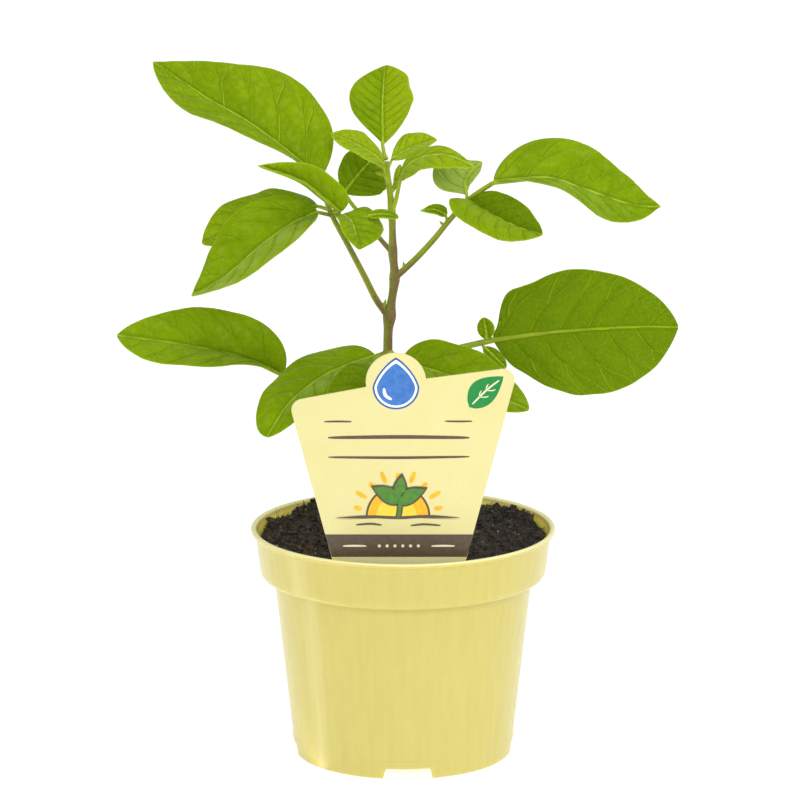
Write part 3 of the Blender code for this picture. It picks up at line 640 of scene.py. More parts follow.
# Main stem: a green shoot, round and juicy, thicker where each leaf leaves it. The sun has turned
# its skin purple-brown at the nodes and down its older part, and fine white hairs stand on it.
STEM = ((-3.5, 0, 48), (-4.2, 0, 84), (-5.6, 0, 120), (-6.0, 0, 161), (-5.4, 0, 175),
        (-3.4, 0, 190), (-4.0, 0, 200), (-4.3, 0, 213.5), (-5.0, 0, 223), (-6.7, 1.2, 236.5))
STEM_RADIUS = (2.6, 1.05)
STEM_NODES = ((175.5, 0.9), (190.5, 0.55), (201, 0.4), (217, 0.3))
NODE_HEIGHT = 3.5
STEM_STEPS = 190
STEM_SIDES = 24
# How purple the skin is at heights up the stem, and how much more purple-brown its right side is painted as shade
STEM_PURPLE = ((48, 0.3), (120, 0.5), (160, 0.7), (172, 0.75), (178, 0.9), (184, 0.65), (191, 0.85), (198, 0.95),
               (205, 0.75), (211, 0.5), (217, 0.05), (222, 0.0), (240, 0.0))
SUNNY_SIDE = 0.55


def path_at(points, fractions):
    """Points in metres at fractions of the length of a smooth curve through given points."""
    stops = [Vector(point) for point in points]
    stops = [2 * stops[0] - stops[1]] + stops + [2 * stops[-1] - stops[-2]]
    dense = []
    for a, b, c, d in zip(stops, stops[1:], stops[2:], stops[3:]):
        for t in (step / 24 for step in range(24)):
            dense.append((2 * b + (c - a) * t + (2 * a - 5 * b + 4 * c - d) * t ** 2
                          + (3 * b - a - 3 * c + d) * t ** 3) / 2)
    dense.append(stops[-2])
    lengths = [0.0]
    for near, far in zip(dense, dense[1:]):
        lengths.append(lengths[-1] + (far - near).length)
    found = []
    for goal in (lengths[-1] * fraction for fraction in fractions):
        index = max(k for k in range(len(dense) - 1) if lengths[k] <= goal)
        share = (goal - lengths[index]) / (lengths[index + 1] - lengths[index])
        found.append(dense[index].lerp(dense[index + 1], share) * MM)
    return found


def stem_radius(place, fraction):
    """The main stem's radius in millimetres, with the swellings at its nodes."""
    radius = STEM_RADIUS[0] + (STEM_RADIUS[1] - STEM_RADIUS[0]) * fraction ** 1.4
    return radius + sum(swelling * math.exp(-((place.z / MM - height) / NODE_HEIGHT) ** 2)
                        for height, swelling in STEM_NODES)


def attribute_axes(name):
    """The three parts of a vector that the mesh carries."""
    return axes_of(add_node("Attribute", {}, attribute_name=name).outputs["Vector"])


def stem_skin():
    """Green skin that turns purple-brown where the mesh says so, streaked along its length."""
    new_finish("young_stem_skin", 0.5)
    streaks = noise_of(place_of((1, 1, 0.16)), 0.9, 3.0)
    clouds = noise_of(place_of(), 4.0, 2.0)
    purple = add_node("Attribute", {}, attribute_name="purple").outputs["Fac"]
    young = attribute_axes("look")[0]
    patchy = sum_of("ADD", ranged(streaks, 0.3, 0.7, 0.65, 1.3), ranged(clouds, 0.3, 0.7, -0.2, 0.2))
    green = mixed(ranged(clouds, 0.35, 0.65), (151, 169, 24), (134, 154, 16))
    brown = mixed(ranged(streaks, 0.35, 0.65), (112, 92, 54), (128, 110, 58))
    tone = layered(green, (ranged(young, 0.0, 1.0, 0.0, 0.8), (164, 184, 26)),
                   (ranged(times(purple, patchy), 0.05, 0.85), brown))
    return coat(Base_Color=tone, Roughness=ranged(streaks, 0.3, 0.7, 0.42, 0.58), Specular_IOR_Level=0.25,
                Normal=bumped(streaks, 0.12, 0.6))


stem_finish = stem_skin()
stem_mesh = bmesh.new()
purple_of_stem = stem_mesh.verts.layers.float.new("purple")
stem_fractions = [k / STEM_STEPS for k in range(STEM_STEPS + 1)]
stem_places = path_at(STEM, stem_fractions)
stem_radii = [stem_radius(place, fraction) for place, fraction in zip(stem_places, stem_fractions)]
for vert_index, stem_vert in enumerate(grow_tube(stem_mesh, stem_places, stem_radii, STEM_SIDES)):
    ring = vert_index // STEM_SIDES
    # The stem's right side is painted more purple-brown as shade
    rightward = (stem_vert.co.x - stem_places[ring].x) / (stem_radii[ring] * MM)
    stem_vert[purple_of_stem] = between(STEM_PURPLE, stem_vert.co.z / MM) * (1 + SUNNY_SIDE * rightward)
as_piece(stem_mesh, "main_stem_shoot", [stem_finish], "stem", "main_stem")


# Leaves: each is a stalk with one blade, or with a blade at its end and smaller ones beside it.
# They are soft, with a raised network of veins on the underside that sinks in on the upper side.
BLADE_THICKNESS = 0.45
BLADE_ARCH = 12
MIDRIB_TIP_RADIUS = 0.35
MIDRIB_REACH = 0.97
STALK_SIDES = 12
STALK_STEP = 1.2
VEIN_SLANT = 0.17
VEIN_BEND = 0.13
PANEL_BULGE = 1.15
FORK_START = 0.4
FORK_END = 0.95
FORK_SPREAD = 0.42
FORK_GROOVE = 0.3
NET_CELL = 3.6
NET_RELIEF = 0.2
NET_SEED = 4
MIDRIB_GROOVE = 0.1
MIDRIB_GREEN = 0.55
STRIPE_WAY = Vector((0.45, -0.85, -0.28)).normalized()
STRIPE_PURPLE = 0.75
# The step up the stem where its hairs start, clear of the peat
HAIRY_FROM = 90


def half(width, folds, ends=(0.6, 0.8), heel=0.0, tone=0.0, sheen=0.3, arch=BLADE_ARCH, bumps=()):
    """One half of a blade: its width, its folds at base and tip, how fast it widens and narrows, and its heel.

    The tone is added to the blade's own and paints the half darker or lighter as shade and light,
    and the sheen pales the half with a painted sheen where it is seen from the side.
    The arch steepens the fold near the midrib. Each bump of the margin has its fraction of the midrib,
    its share of the width and its reach.
    """
    return SimpleNamespace(**locals())


# Steps along a blade, across each of its halves and along its midrib, and its pairs of side veins
LARGE = (130, 30, 70, 5)
MIDDLE = (90, 22, 46, 5)
FINE = (90, 22, 46, 8)
TINY = (26, 8, 16, 3)


def blade(stalk, stalk_radius, rib, faces, left, right=None, wave=(1.0, 2.5, 0.0), steps=MIDDLE, tone=0.0,
          grey=0.0, ridge=0.0, net=0.55):
    """The values of one blade and its stalk: points and widths in millimetres, angles in degrees.

    The faces point the way that the upper side looks at the base and at the tip. Each half rises by
    its fold from the midrib to its margin. The wave is a height, a count and a phase. The tone runs
    from -1, a dark leaf, to 1, a light one: partly the leaf's age, partly painted shade and light for
    how the light falls on it. Grey pales and dulls it as a painted sheen. The ridge lifts the midrib, and
    the net is how deep the small veins are drawn into the surface and how dark their creases are painted as shade.
    """
    stalk, right = stalk + rib[:1], right or left
    return SimpleNamespace(**locals())


# Each blade's and each half's tone is partly the leaf's age and partly painted shade and light; grey is a painted
# sheen
LEAVES = {
    "leaf_upper_left": [
        blade([(-5.5, 0, 175), (-10.5, -2, 182.5), (-15, -4, 192), (-21, -8, 204.5), (-27.5, -11, 217.5),
               (-30.5, -11, 226)],
              (1.4, 0.9), [(-32, -9, 232), (-57.5, 1, 250), (-76.5, 9, 260), (-97.5, 19, 272.5)],
              [(0.3, -0.46, 0.84), (0.17, -0.63, 0.76)],
              half(23, (42, 12), (0.7, 0.9), sheen=0.15, arch=-4), half(25, (32, 22), (0.55, 1.0)),
              wave=(0.5, 2.5, 0), steps=LARGE, tone=0.25, net=0.8),
        blade([(-28, -11, 219)], (0.8, 0.7),
              [(-24.5, -14, 219.5), (-32, -17, 226), (-40.5, -21, 233), (-55.5, -28, 240)],
              [(0.4, -0.55, 0.75)], half(9.5, (38, 40)), half(9, (62, 60), (0.4, 0.9), 0.3),
              wave=(0.3, 2, 0), tone=0.45),
        blade([(-27.5, -11, 217.5)], (0.8, 0.7),
              [(-33, -15, 219.5), (-43, -22, 216), (-54.5, -30, 209), (-68.5, -37, 198), (-80.5, -42, 192)],
              [(-0.13, -0.52, 0.85)], half(16, (16, 32), (0.75, 0.65), tone=0.35, sheen=1.0, arch=0),
              half(16.5, (48, 4), (0.7, 0.9)), wave=(0.3, 2.5, 0), steps=LARGE, ridge=0.5),
        blade([(-28, -11, 219.5)], (0.8, 0.7),
              [(-33, -5, 220), (-44, 2, 217), (-60, 9, 210.5), (-78.5, 13, 201.5)],
              [(0, -0.6, 0.8)], half(13, (10, 10)), half(13.5, (0, 20), (0.9, 0.65)), tone=0.65),
        blade([(-27.5, -11, 218)], (0.7, 0.6), [(-23.5, -13, 218), (-20, -17, 215.5), (-17, -26, 207)],
              [(0.35, -0.75, 0.55)], half(13, (-10, 12), (0.4, 0.75)), half(9.5, (35, 30), (0.5, 0.6)),
              wave=(0.5, 2, 0), tone=0.1),
        blade([(-27.5, -11, 217.5), (-20, -12.5, 217)], (0.7, 0.5),
              [(-13.5, -13, 217.5), (-8, -12, 218), (-2, -10, 216.5)],
              [(0, -0.75, 0.65)], half(2.2, (20, 20), (0.3, 0.4)), wave=(0.2, 1, 0), steps=TINY),
    ],
    "leaf_upper_right": [
        blade([(-4, 0, 190), (4.5, -3, 198.5), (12, -7, 207.5), (17.5, -10, 215), (25.5, -14, 224.5)],
              (1.3, 0.9), [(35, -16, 231.5), (55.5, -14, 232.5), (69.5, -10, 227.5), (88.5, -2, 220),
                           (100, 2, 218.5)],
              [(0.26, -0.39, 0.88), (0.28, -0.63, 0.72)],
              half(18, (10, 50), (0.55, 0.95), sheen=0.4),
              half(15, (45, -20), (0.95, 1.05), tone=-0.1, sheen=0.4, arch=0),
              wave=(0.6, 2.5, 0), steps=LARGE, tone=0.1),
        blade([(25, -14, 224)], (0.7, 0.6),
              [(25.5, -15, 223.8), (32, -20, 220.5), (43.5, -30, 216.5), (53, -38, 215)],
              [(-0.16, -0.48, 0.87)], half(10, (34, 17), (0.5, 0.75), tone=-0.9),
              half(14.5, (34, 2), (0.4, 0.7), 0.65, tone=0.4),
              wave=(0.4, 2, 0)),
        blade([(24.5, -13.5, 223)], (0.7, 0.6),
              [(24.5, -12.5, 226), (24, -9, 230), (26.5, -5, 233.5), (30.5, -1, 236.5)],
              [(0.1, -0.9, 0.3), (-0.3, -0.6, 0.7)],
              half(14, (15, -10), (0.6, 0.7)), half(3.2, (20, 0), (1.1, 0.9)), wave=(0.4, 2, 0), grey=1.0, tone=0.3),
        blade([(17, -10, 214.5)], (0.6, 0.5), [(16.5, -11.5, 217.5), (12, -14, 220), (6.5, -17, 220.5)],
              [(0, -0.8, 0.6)], half(2.3, (20, 15), (0.6, 0.85)), half(3, (25, 20), (0.4, 1.1)),
              wave=(0.2, 1, 0), steps=TINY),
    ],
    "leaf_back": [
        blade([(-4, 0, 200.5), (-8.5, 3, 205), (-14, 9, 211), (-20, 15, 217)], (1.0, 0.75),
              [(-23, 17.5, 221), (-19, 20, 226), (-14, 22, 231.5), (-9.5, 24, 235.5)],
              [(0, -0.8, 0.6)], half(9.3, (0, 2), (0.75, 0.6)), half(12.7, (6, 0), (0.7, 0.65)),
              wave=(0.6, 2, 0), tone=-0.25),
    ],
    "leaf_top": [
        blade([(-6.9, 1.4, 237.2), (-7.5, 2.8, 239.5)], (0.8, 0.7),
              [(-8, 4.5, 242.5), (-8, 8, 256.5), (-7, 13, 272)],
              [(0.1, -0.95, 0.3)], half(13.4, (25, -16), (1.2, 0.9), tone=-0.2),
              half(12.3, (5, 45), (0.9, 0.5), tone=0.5,
                   bumps=((0.56, 0.05, 0.08), (0.74, -0.05, 0.05), (0.88, 0.12, 0.06))),
              wave=(0.6, 2, 0), steps=FINE, tone=0.3, net=0.35),
    ],
    "leaf_crown_left": [
        blade([(-5.5, 0.3, 228), (-7, -1.5, 231.5)], (0.75, 0.6),
              [(-7.5, -2.5, 235.5), (-12, -4, 240), (-18.5, -6, 244), (-28, -9, 249)],
              [(0.1, -0.55, 0.83)], half(7.8, (26, 8), (0.4, 0.55)), half(7.6, (-8, 22), (0.75, 0.95)),
              wave=(0.4, 2, 0), tone=0.8),
    ],
    "leaf_crown_right": [
        blade([(-6.4, 0.9, 233.5), (-5.2, 1.5, 235.5)], (0.65, 0.55),
              [(-4.5, 2, 237), (0.5, 4, 239.5), (5.5, 6, 241.5), (13, 8, 243.5)],
              [(-0.1, -0.65, 0.75)], half(6.9, (12, 2), (0.9, 0.7), tone=0.4, sheen=0.8),
              half(7, (28, 34), (0.6, 0.85), tone=0.2, sheen=0.8), wave=(0.4, 2, 0.3), tone=1.0),
    ],
    "leaf_arching": [
        blade([(-4.5, 0, 216.5), (-2.8, -1.6, 222), (-1.8, -3, 227)], (0.95, 0.7),
              [(-1, -5, 231), (2, -9, 236.5), (8, -13, 240.5), (14.5, -17, 242), (21, -20, 241), (27, -23, 238.5)],
              [(-0.2, -0.6, 0.78)], half(6.4, (-4, -10), (0.6, 1.1)), half(9, (4, 16), (0.65, 0.75)),
              wave=(0.4, 2, 0), tone=0.7),
    ],
    "leaf_lower_left": [
        blade([(-6, 0, 150.5), (-28, -3, 152.5)], (1.3, 1.0),
              [(-47, -6, 153.5), (-62.5, -14, 162), (-84.5, -22, 168.5), (-110, -30, 174)],
              [(0.41, -0.47, 0.78)], half(17.5, (42, 5), (1.0, 0.6), tone=0.25, sheen=0.3, arch=0),
              half(16.5, (66, 17), (0.5, 0.75), tone=0.15),
              wave=(0.4, 3, 0.2), steps=LARGE, tone=-0.05, ridge=0.4, net=0.5),
    ],
    "leaf_front_left": [
        blade([(-6, 0, 160.5)], (1.3, 1.0),
              [(-11, -3, 160), (-20, -8, 158), (-30, -17, 155.5), (-38.5, -27, 151.5), (-45, -36, 147),
               (-52, -45, 137.5)],
              [(0, -0.35, 0.94)], half(15, (15, 10), (0.5, 0.7), sheen=0.75),
              half(13, (20, 0), (0.4, 0.4), sheen=0.75),
              wave=(0.6, 2.5, 0), steps=LARGE, tone=0.05, net=0.5),
    ],
    "leaf_inner_front": [
        blade([(-6, 0, 154), (-6, -8, 155)], (1.1, 0.9),
              [(-6, -20, 156), (-14, -31, 154), (-23, -40, 147.5), (-28, -45, 142)],
              [(0.1, -0.85, 0.5)], half(9, (5, 5)), half(12, (0, 0), (0.6, 0.8)), tone=-1.0),
    ],
    "leaf_lower_right": [
        blade([(-6, 0, 155), (10, 3, 159), (24, 6, 162)], (1.4, 1.2),
              [(35.5, 9, 164), (59, 12, 166.5), (89.5, 19, 167), (108.5, 24, 166)],
              [(0.15, -0.93, 0.38)], half(24, (12, 8), (0.5, 0.66),
                   bumps=((0.02, -0.45, 0.03), (0.1, 0.1, 0.05), (0.23, -0.06, 0.07))),
              half(26, (-6, -8), (0.75, 0.72), bumps=((0.06, 0.12, 0.05), (0.9, 0.08, 0.08))),
              wave=(0.5, 3, 0.1), steps=LARGE, tone=-0.75, ridge=1.0, net=0.4),
        blade([(31, 8, 163)], (0.6, 0.5), [(33, 8, 164.5), (32.5, 8, 169), (31.5, 7, 173.5)],
              [(-0.2, -0.95, 0.3)], half(3.5, (10, 10), (0.6, 0.6)), wave=(0.2, 1, 0), steps=TINY),
        blade([(31, 8, 163)], (0.6, 0.5), [(31.5, 7, 161.5), (35, 5, 158.5), (40, 2, 154)],
              [(0.5, -0.7, 0.5)], half(3.5, (10, 10), (0.6, 0.6)), wave=(0.2, 1, 0), steps=TINY),
    ],
    "leaf_front_right": [
        blade([(-6, 0, 161), (-3, -2.5, 160)], (1.3, 1.0),
              [(-0.5, -4, 158.5), (9, -12, 157), (26, -20, 153), (39, -28, 148.5), (48, -34, 145.5)],
              [(0.1, -0.45, 0.88)], half(14, (48, -3), (0.45, 0.65), sheen=0.8),
              half(13.5, (0, 10), (0.6, 0.55), sheen=0.6),
              wave=(0.6, 2.5, 0), steps=LARGE, tone=0.12, net=0.5),
    ],
    "growing_tip": [
        blade([(-5, 0.4, 223), (-4, 1.6, 226)], (0.6, 0.5),
              [(-3.5, 2, 227.5), (-2.5, 2.6, 231), (-1.2, 3, 235)],
              [(0.6, -0.7, 0.4)], half(1.7, (20, 10), (0.6, 0.6)), wave=(0.1, 1, 0), steps=TINY, tone=1.0),
        blade([(-4.6, 0.8, 224)], (0.5, 0.45), [(-3.4, 1.6, 225.5), (-2, 1.4, 228), (-1, 1.2, 230.5)],
              [(-0.5, -0.7, 0.5)], half(1.4, (20, 10), (0.6, 0.6)), wave=(0.1, 1, 0), steps=TINY, tone=1.0),
    ],
}

# Buds by leaf, in millimetres: foot, tip and radius
BUDS = {
    "leaf_upper_left": [((-8, -1.3, 178), (-6.8, -1.6, 182.5), 0.9)],
    "leaf_upper_right": [((0.8, -1.6, 193.5), (0, -1.6, 197.5), 0.8), ((16, -9.5, 213), (14, -9.8, 215), 0.7)],
    "leaf_crown_left": [((-6.8, -1.6, 231.5), (-11, -3, 233), 1.1)],
}
# How purple-brown each leaf's foot is, and the leaves whose stalks have a purple stripe in the sun
FOOT_PURPLE = {"leaf_upper_left": 0.8, "leaf_upper_right": 0.7, "leaf_back": 1.0, "leaf_front_left": 0.5}
STRIPED = ("leaf_upper_left", "leaf_upper_right")


def blade_frames(values, fractions):
    """For each fraction of the midrib: its place, and the ways along, across and out of the face."""
    befores = path_at(values.rib, [max(fraction - 0.02, 0) for fraction in fractions])
    places = path_at(values.rib, fractions)
    afters = path_at(values.rib, [min(fraction + 0.02, 1) for fraction in fractions])
    frames = []
    for fraction, before, place, after in zip(fractions, befores, places, afters):
        along = (after - before).normalized()
        face = Vector(values.faces[0]).lerp(Vector(values.faces[-1]), fraction)
        normal = (face - along * face.dot(along)).normalized()
        frames.append((place, along, along.cross(normal), normal))
    return frames


def side_of(values, across):
    """The half of a blade on one side of its midrib."""
    return values.left if across < 0 else values.right


def half_width(side, fraction):
    """The width of one half in millimetres: blunt at the base, pointed at the tip, its margin uneven."""
    base, tip = side.ends
    widest = base / (base + tip)
    uneven = 1 + 0.03 * noise.noise(Vector((fraction * 7, side.width, base)))
    for at, share, reach in side.bumps:
        uneven += share * math.exp(-((fraction - at) / reach) ** 2)
    return side.width * uneven * (fraction / widest) ** base * ((1 - fraction) / (1 - widest)) ** tip


def vein_place(values, fraction, across):
    """Where a point lies between the side veins, in veins from the base; a whole number is a vein."""
    side = side_of(values, across)
    reach = (half_width(side, fraction) / side.width) ** 0.8
    start = (fraction - (VEIN_SLANT * abs(across) + VEIN_BEND * across ** 2) * reach) * (values.steps[3] + 1)
    seed = values.rib[0][0] + (9 if across > 0 else 0)
    spacing = 0.2 * noise.noise(Vector((start * 0.8, seed, 0)))
    zigzag = 0.07 * noise.noise(Vector((start, 5.5 * across, seed))) * min(1, abs(across) * 4)
    return start + spacing + zigzag + (0.5 if across > 0 else 0)


def net_crease(values, lateral, along):
    """How near a point is to a small vein, from 0 in the middle of a cell to 1 on the vein."""
    place = Vector((along, lateral, 7 * values.rib[0][2])) / NET_CELL
    place += 0.35 * noise.noise_vector(place * 0.8)
    place.z = values.rib[0][2]
    near, far = noise.voronoi(place)[0][:2]
    return max(0.0, 1 - 2.6 * (far - near))


def vein_relief(values, fraction, across, crease):
    """How far the upper side stands out of the smooth blade, in millimetres: panels puff up between the veins."""
    from_vein = abs((vein_place(values, fraction, across) + 0.5) % 1 - 0.5)
    side = side_of(values, across)
    fade = math.sin(math.pi * (0.12 + 0.8 * abs(across))) * math.sin(math.pi * fraction) ** 0.5
    puff = PANEL_BULGE * math.sin(math.pi * from_vein) ** 0.6
    share = min(max((abs(across) - FORK_START) / (FORK_END - FORK_START), 0), 1)
    fork = FORK_SPREAD * share * share * (3 - 2 * share)
    forked = FORK_GROOVE * min(1, fork * 8) * math.exp(-((from_vein - fork) / 0.05) ** 2)
    lateral = abs(across) * half_width(side, fraction)
    midrib = MIDRIB_GROOVE * (1 - values.ridge) * math.exp(-(lateral / 0.9) ** 2)
    relief = fade * (puff - PANEL_BULGE / 2 - forked - NET_RELIEF * values.net * crease) - midrib
    return min(1, side.width / 16) * relief


def blade_point(values, stand, fraction, across, crease):
    """A point of the blade in metres; across runs from -1 at the left margin to 1 at the right margin."""
    place, along, way, normal = stand
    side = side_of(values, across)
    reach = abs(across) * half_width(side, fraction)
    base_fold, tip_fold = side.folds
    fold = math.radians(base_fold + (tip_fold - base_fold) * fraction + side.arch * (1 - abs(across)))
    height, count, phase = values.wave
    turns = count * fraction + phase + (0.25 if across > 0 else 0)
    ripple = height * across ** 2 * math.sin(math.tau * turns) * math.sin(math.pi * fraction)
    lift = reach * math.sin(fold) + ripple + vein_relief(values, fraction, across, crease)
    heel = side.heel * reach * (1 - fraction) ** 2
    return place + (way * math.copysign(reach * math.cos(fold), across) + normal * lift - along * heel) * MM


def grow_blade(bm, values, layers, margins):
    """One blade: a flat grid shaped by its values, then given its thickness; its margins are noted for the hairs."""
    long_steps, half_steps = values.steps[:2]
    shares = [k / long_steps for k in range(long_steps + 1)]
    fractions = [0.75 * (1 - math.cos(math.pi * share)) / 2 + 0.25 * share for share in shares]
    stands = blade_frames(values, fractions)
    grid = bmesh.ops.create_grid(bm, x_segments=long_steps, y_segments=2 * half_steps, size=1)["verts"]
    length = sum((b[0] - a[0]).length for a, b in zip(stands, stands[1:])) / MM
    for vert in grid:
        column = round((vert.co.x + 1) / 2 * long_steps)
        fraction, across = fractions[column], vert.co.y
        side = side_of(values, across)
        lateral = across * half_width(side, fraction)
        crease = net_crease(values, lateral, fraction * length)
        vert[layers.veins] = (vein_place(values, fraction, across), lateral, fraction)
        # The look carries the tone, partly age and partly painted shade and light, the grey of a painted sheen, and
        # the sheen
        vert[layers.look] = (values.tone + side.tone, values.grey, side.sheen)
        vert[layers.panel] = (abs(across), crease * values.net, 0)
        vert.co = blade_point(values, stands[column], fraction, across, crease)
        if abs(across) > 0.999:
            _, along, way, _ = stands[column]
            margins.append((vert.co.copy(), (way * across + along * 0.6).normalized()))
    bmesh.ops.remove_doubles(bm, verts=grid, dist=0.002 * MM)
    upper = [vert for vert in grid if vert.is_valid]
    faces = faces_of(upper)
    for part in faces + upper:
        part.normal_update()
    downs = {vert.co.to_tuple(): vert.normal * BLADE_THICKNESS * (1 - 0.6 * vert[layers.panel].x ** 6)
             for vert in upper}
    grown = bmesh.ops.extrude_face_region(bm, geom=faces, use_keep_orig=True)["geom"]
    under = [part for part in grown if isinstance(part, bmesh.types.BMVert)]
    shell = faces_of(upper + under)
    for vert in under:
        vert.co -= downs[vert.co.to_tuple()] * MM
    bmesh.ops.recalc_face_normals(bm, faces=shell)
    for face in shell:
        face.material_index = 0


def grow_stalk(bm, values, layers, foot_purple, stripe, stalks):
    """The stalk and the midrib under its blade, as one tapering stem; its path is noted for the hairs."""
    stops = [Vector(point) for point in values.stalk]
    stalk_length = sum((b - a).length for a, b in zip(stops, stops[1:]))
    count = max(3, round(stalk_length / STALK_STEP))
    places = path_at(values.stalk, [k / count for k in range(count)])
    first, last = values.stalk_radius
    flare = 0 if foot_purple is None else 0.55 * first
    radii = [first + (last - first) * k / count + flare * math.exp(-(k * stalk_length / count / 1.6) ** 2)
             for k in range(count)]
    stalks.append((places[:], radii[:]))
    fractions = [MIDRIB_REACH * k / values.steps[2] for k in range(values.steps[2] + 1)]
    for fraction, (place, _, _, normal) in zip(fractions, blade_frames(values, fractions)):
        radii.append(last + (MIDRIB_TIP_RADIUS - last) * fraction / MIDRIB_REACH)
        sunk = 0.25 - 0.4 * values.ridge * (1 - fraction)
        places.append(place - normal * radii[-1] * sunk * MM)
    made = grow_tube(bm, places, radii, STALK_SIDES)
    for index, vert in enumerate(made):
        ring = index // STALK_SIDES
        on_midrib = min(max((ring - count + 2) / 3, 0), 1)
        vert[layers.look] = (values.tone + MIDRIB_GREEN * on_midrib + 0.25, values.grey, 0)
        purple = (foot_purple or 0) * math.exp(-((vert.co / MM - stops[0]).length / 9) ** 2)
        outward = (vert.co - places[ring]).normalized()
        purple += stripe * max(0, outward.dot(STRIPE_WAY)) ** 3 * (1 - on_midrib)
        vert[layers.purple] = min(1, purple * (1 - on_midrib))
    for face in faces_of(made):
        face.material_index = 1


def grow_bud(bm, foot, tip, radius, layers):
    """A small folded bud, from its foot to its tip."""
    foot, tip, radius = Vector(foot) * MM, Vector(tip) * MM, radius * MM
    stand = Matrix.Translation((foot + tip) / 2) @ (tip - foot).to_track_quat("Z", "Y").to_matrix().to_4x4()
    size = Matrix.Diagonal((radius, radius * 0.8, (tip - foot).length / 2, 1))
    made = bmesh.ops.create_uvsphere(bm, u_segments=20, v_segments=16, radius=1, matrix=stand @ size)["verts"]
    for vert in made:
        up = stand.inverted() @ vert.co
        share = up.z / (tip - foot).length + 0.5
        pinch = 1 - 0.45 * share ** 3
        vert.co = stand @ Vector((up.x * pinch, up.y * pinch, up.z))
        vert[layers.purple] = 0.15 * (1 - share)
    for face in faces_of(made):
        face.material_index = 1


def crest(value, near, far, middle=0.0):
    """1 on a line, where a value is at its middle, falling smoothly to 0 some way off."""
    return less(1.0, ranged(sum_of("ABSOLUTE", less(value, middle)), near, far, kind="SMOOTHSTEP"))


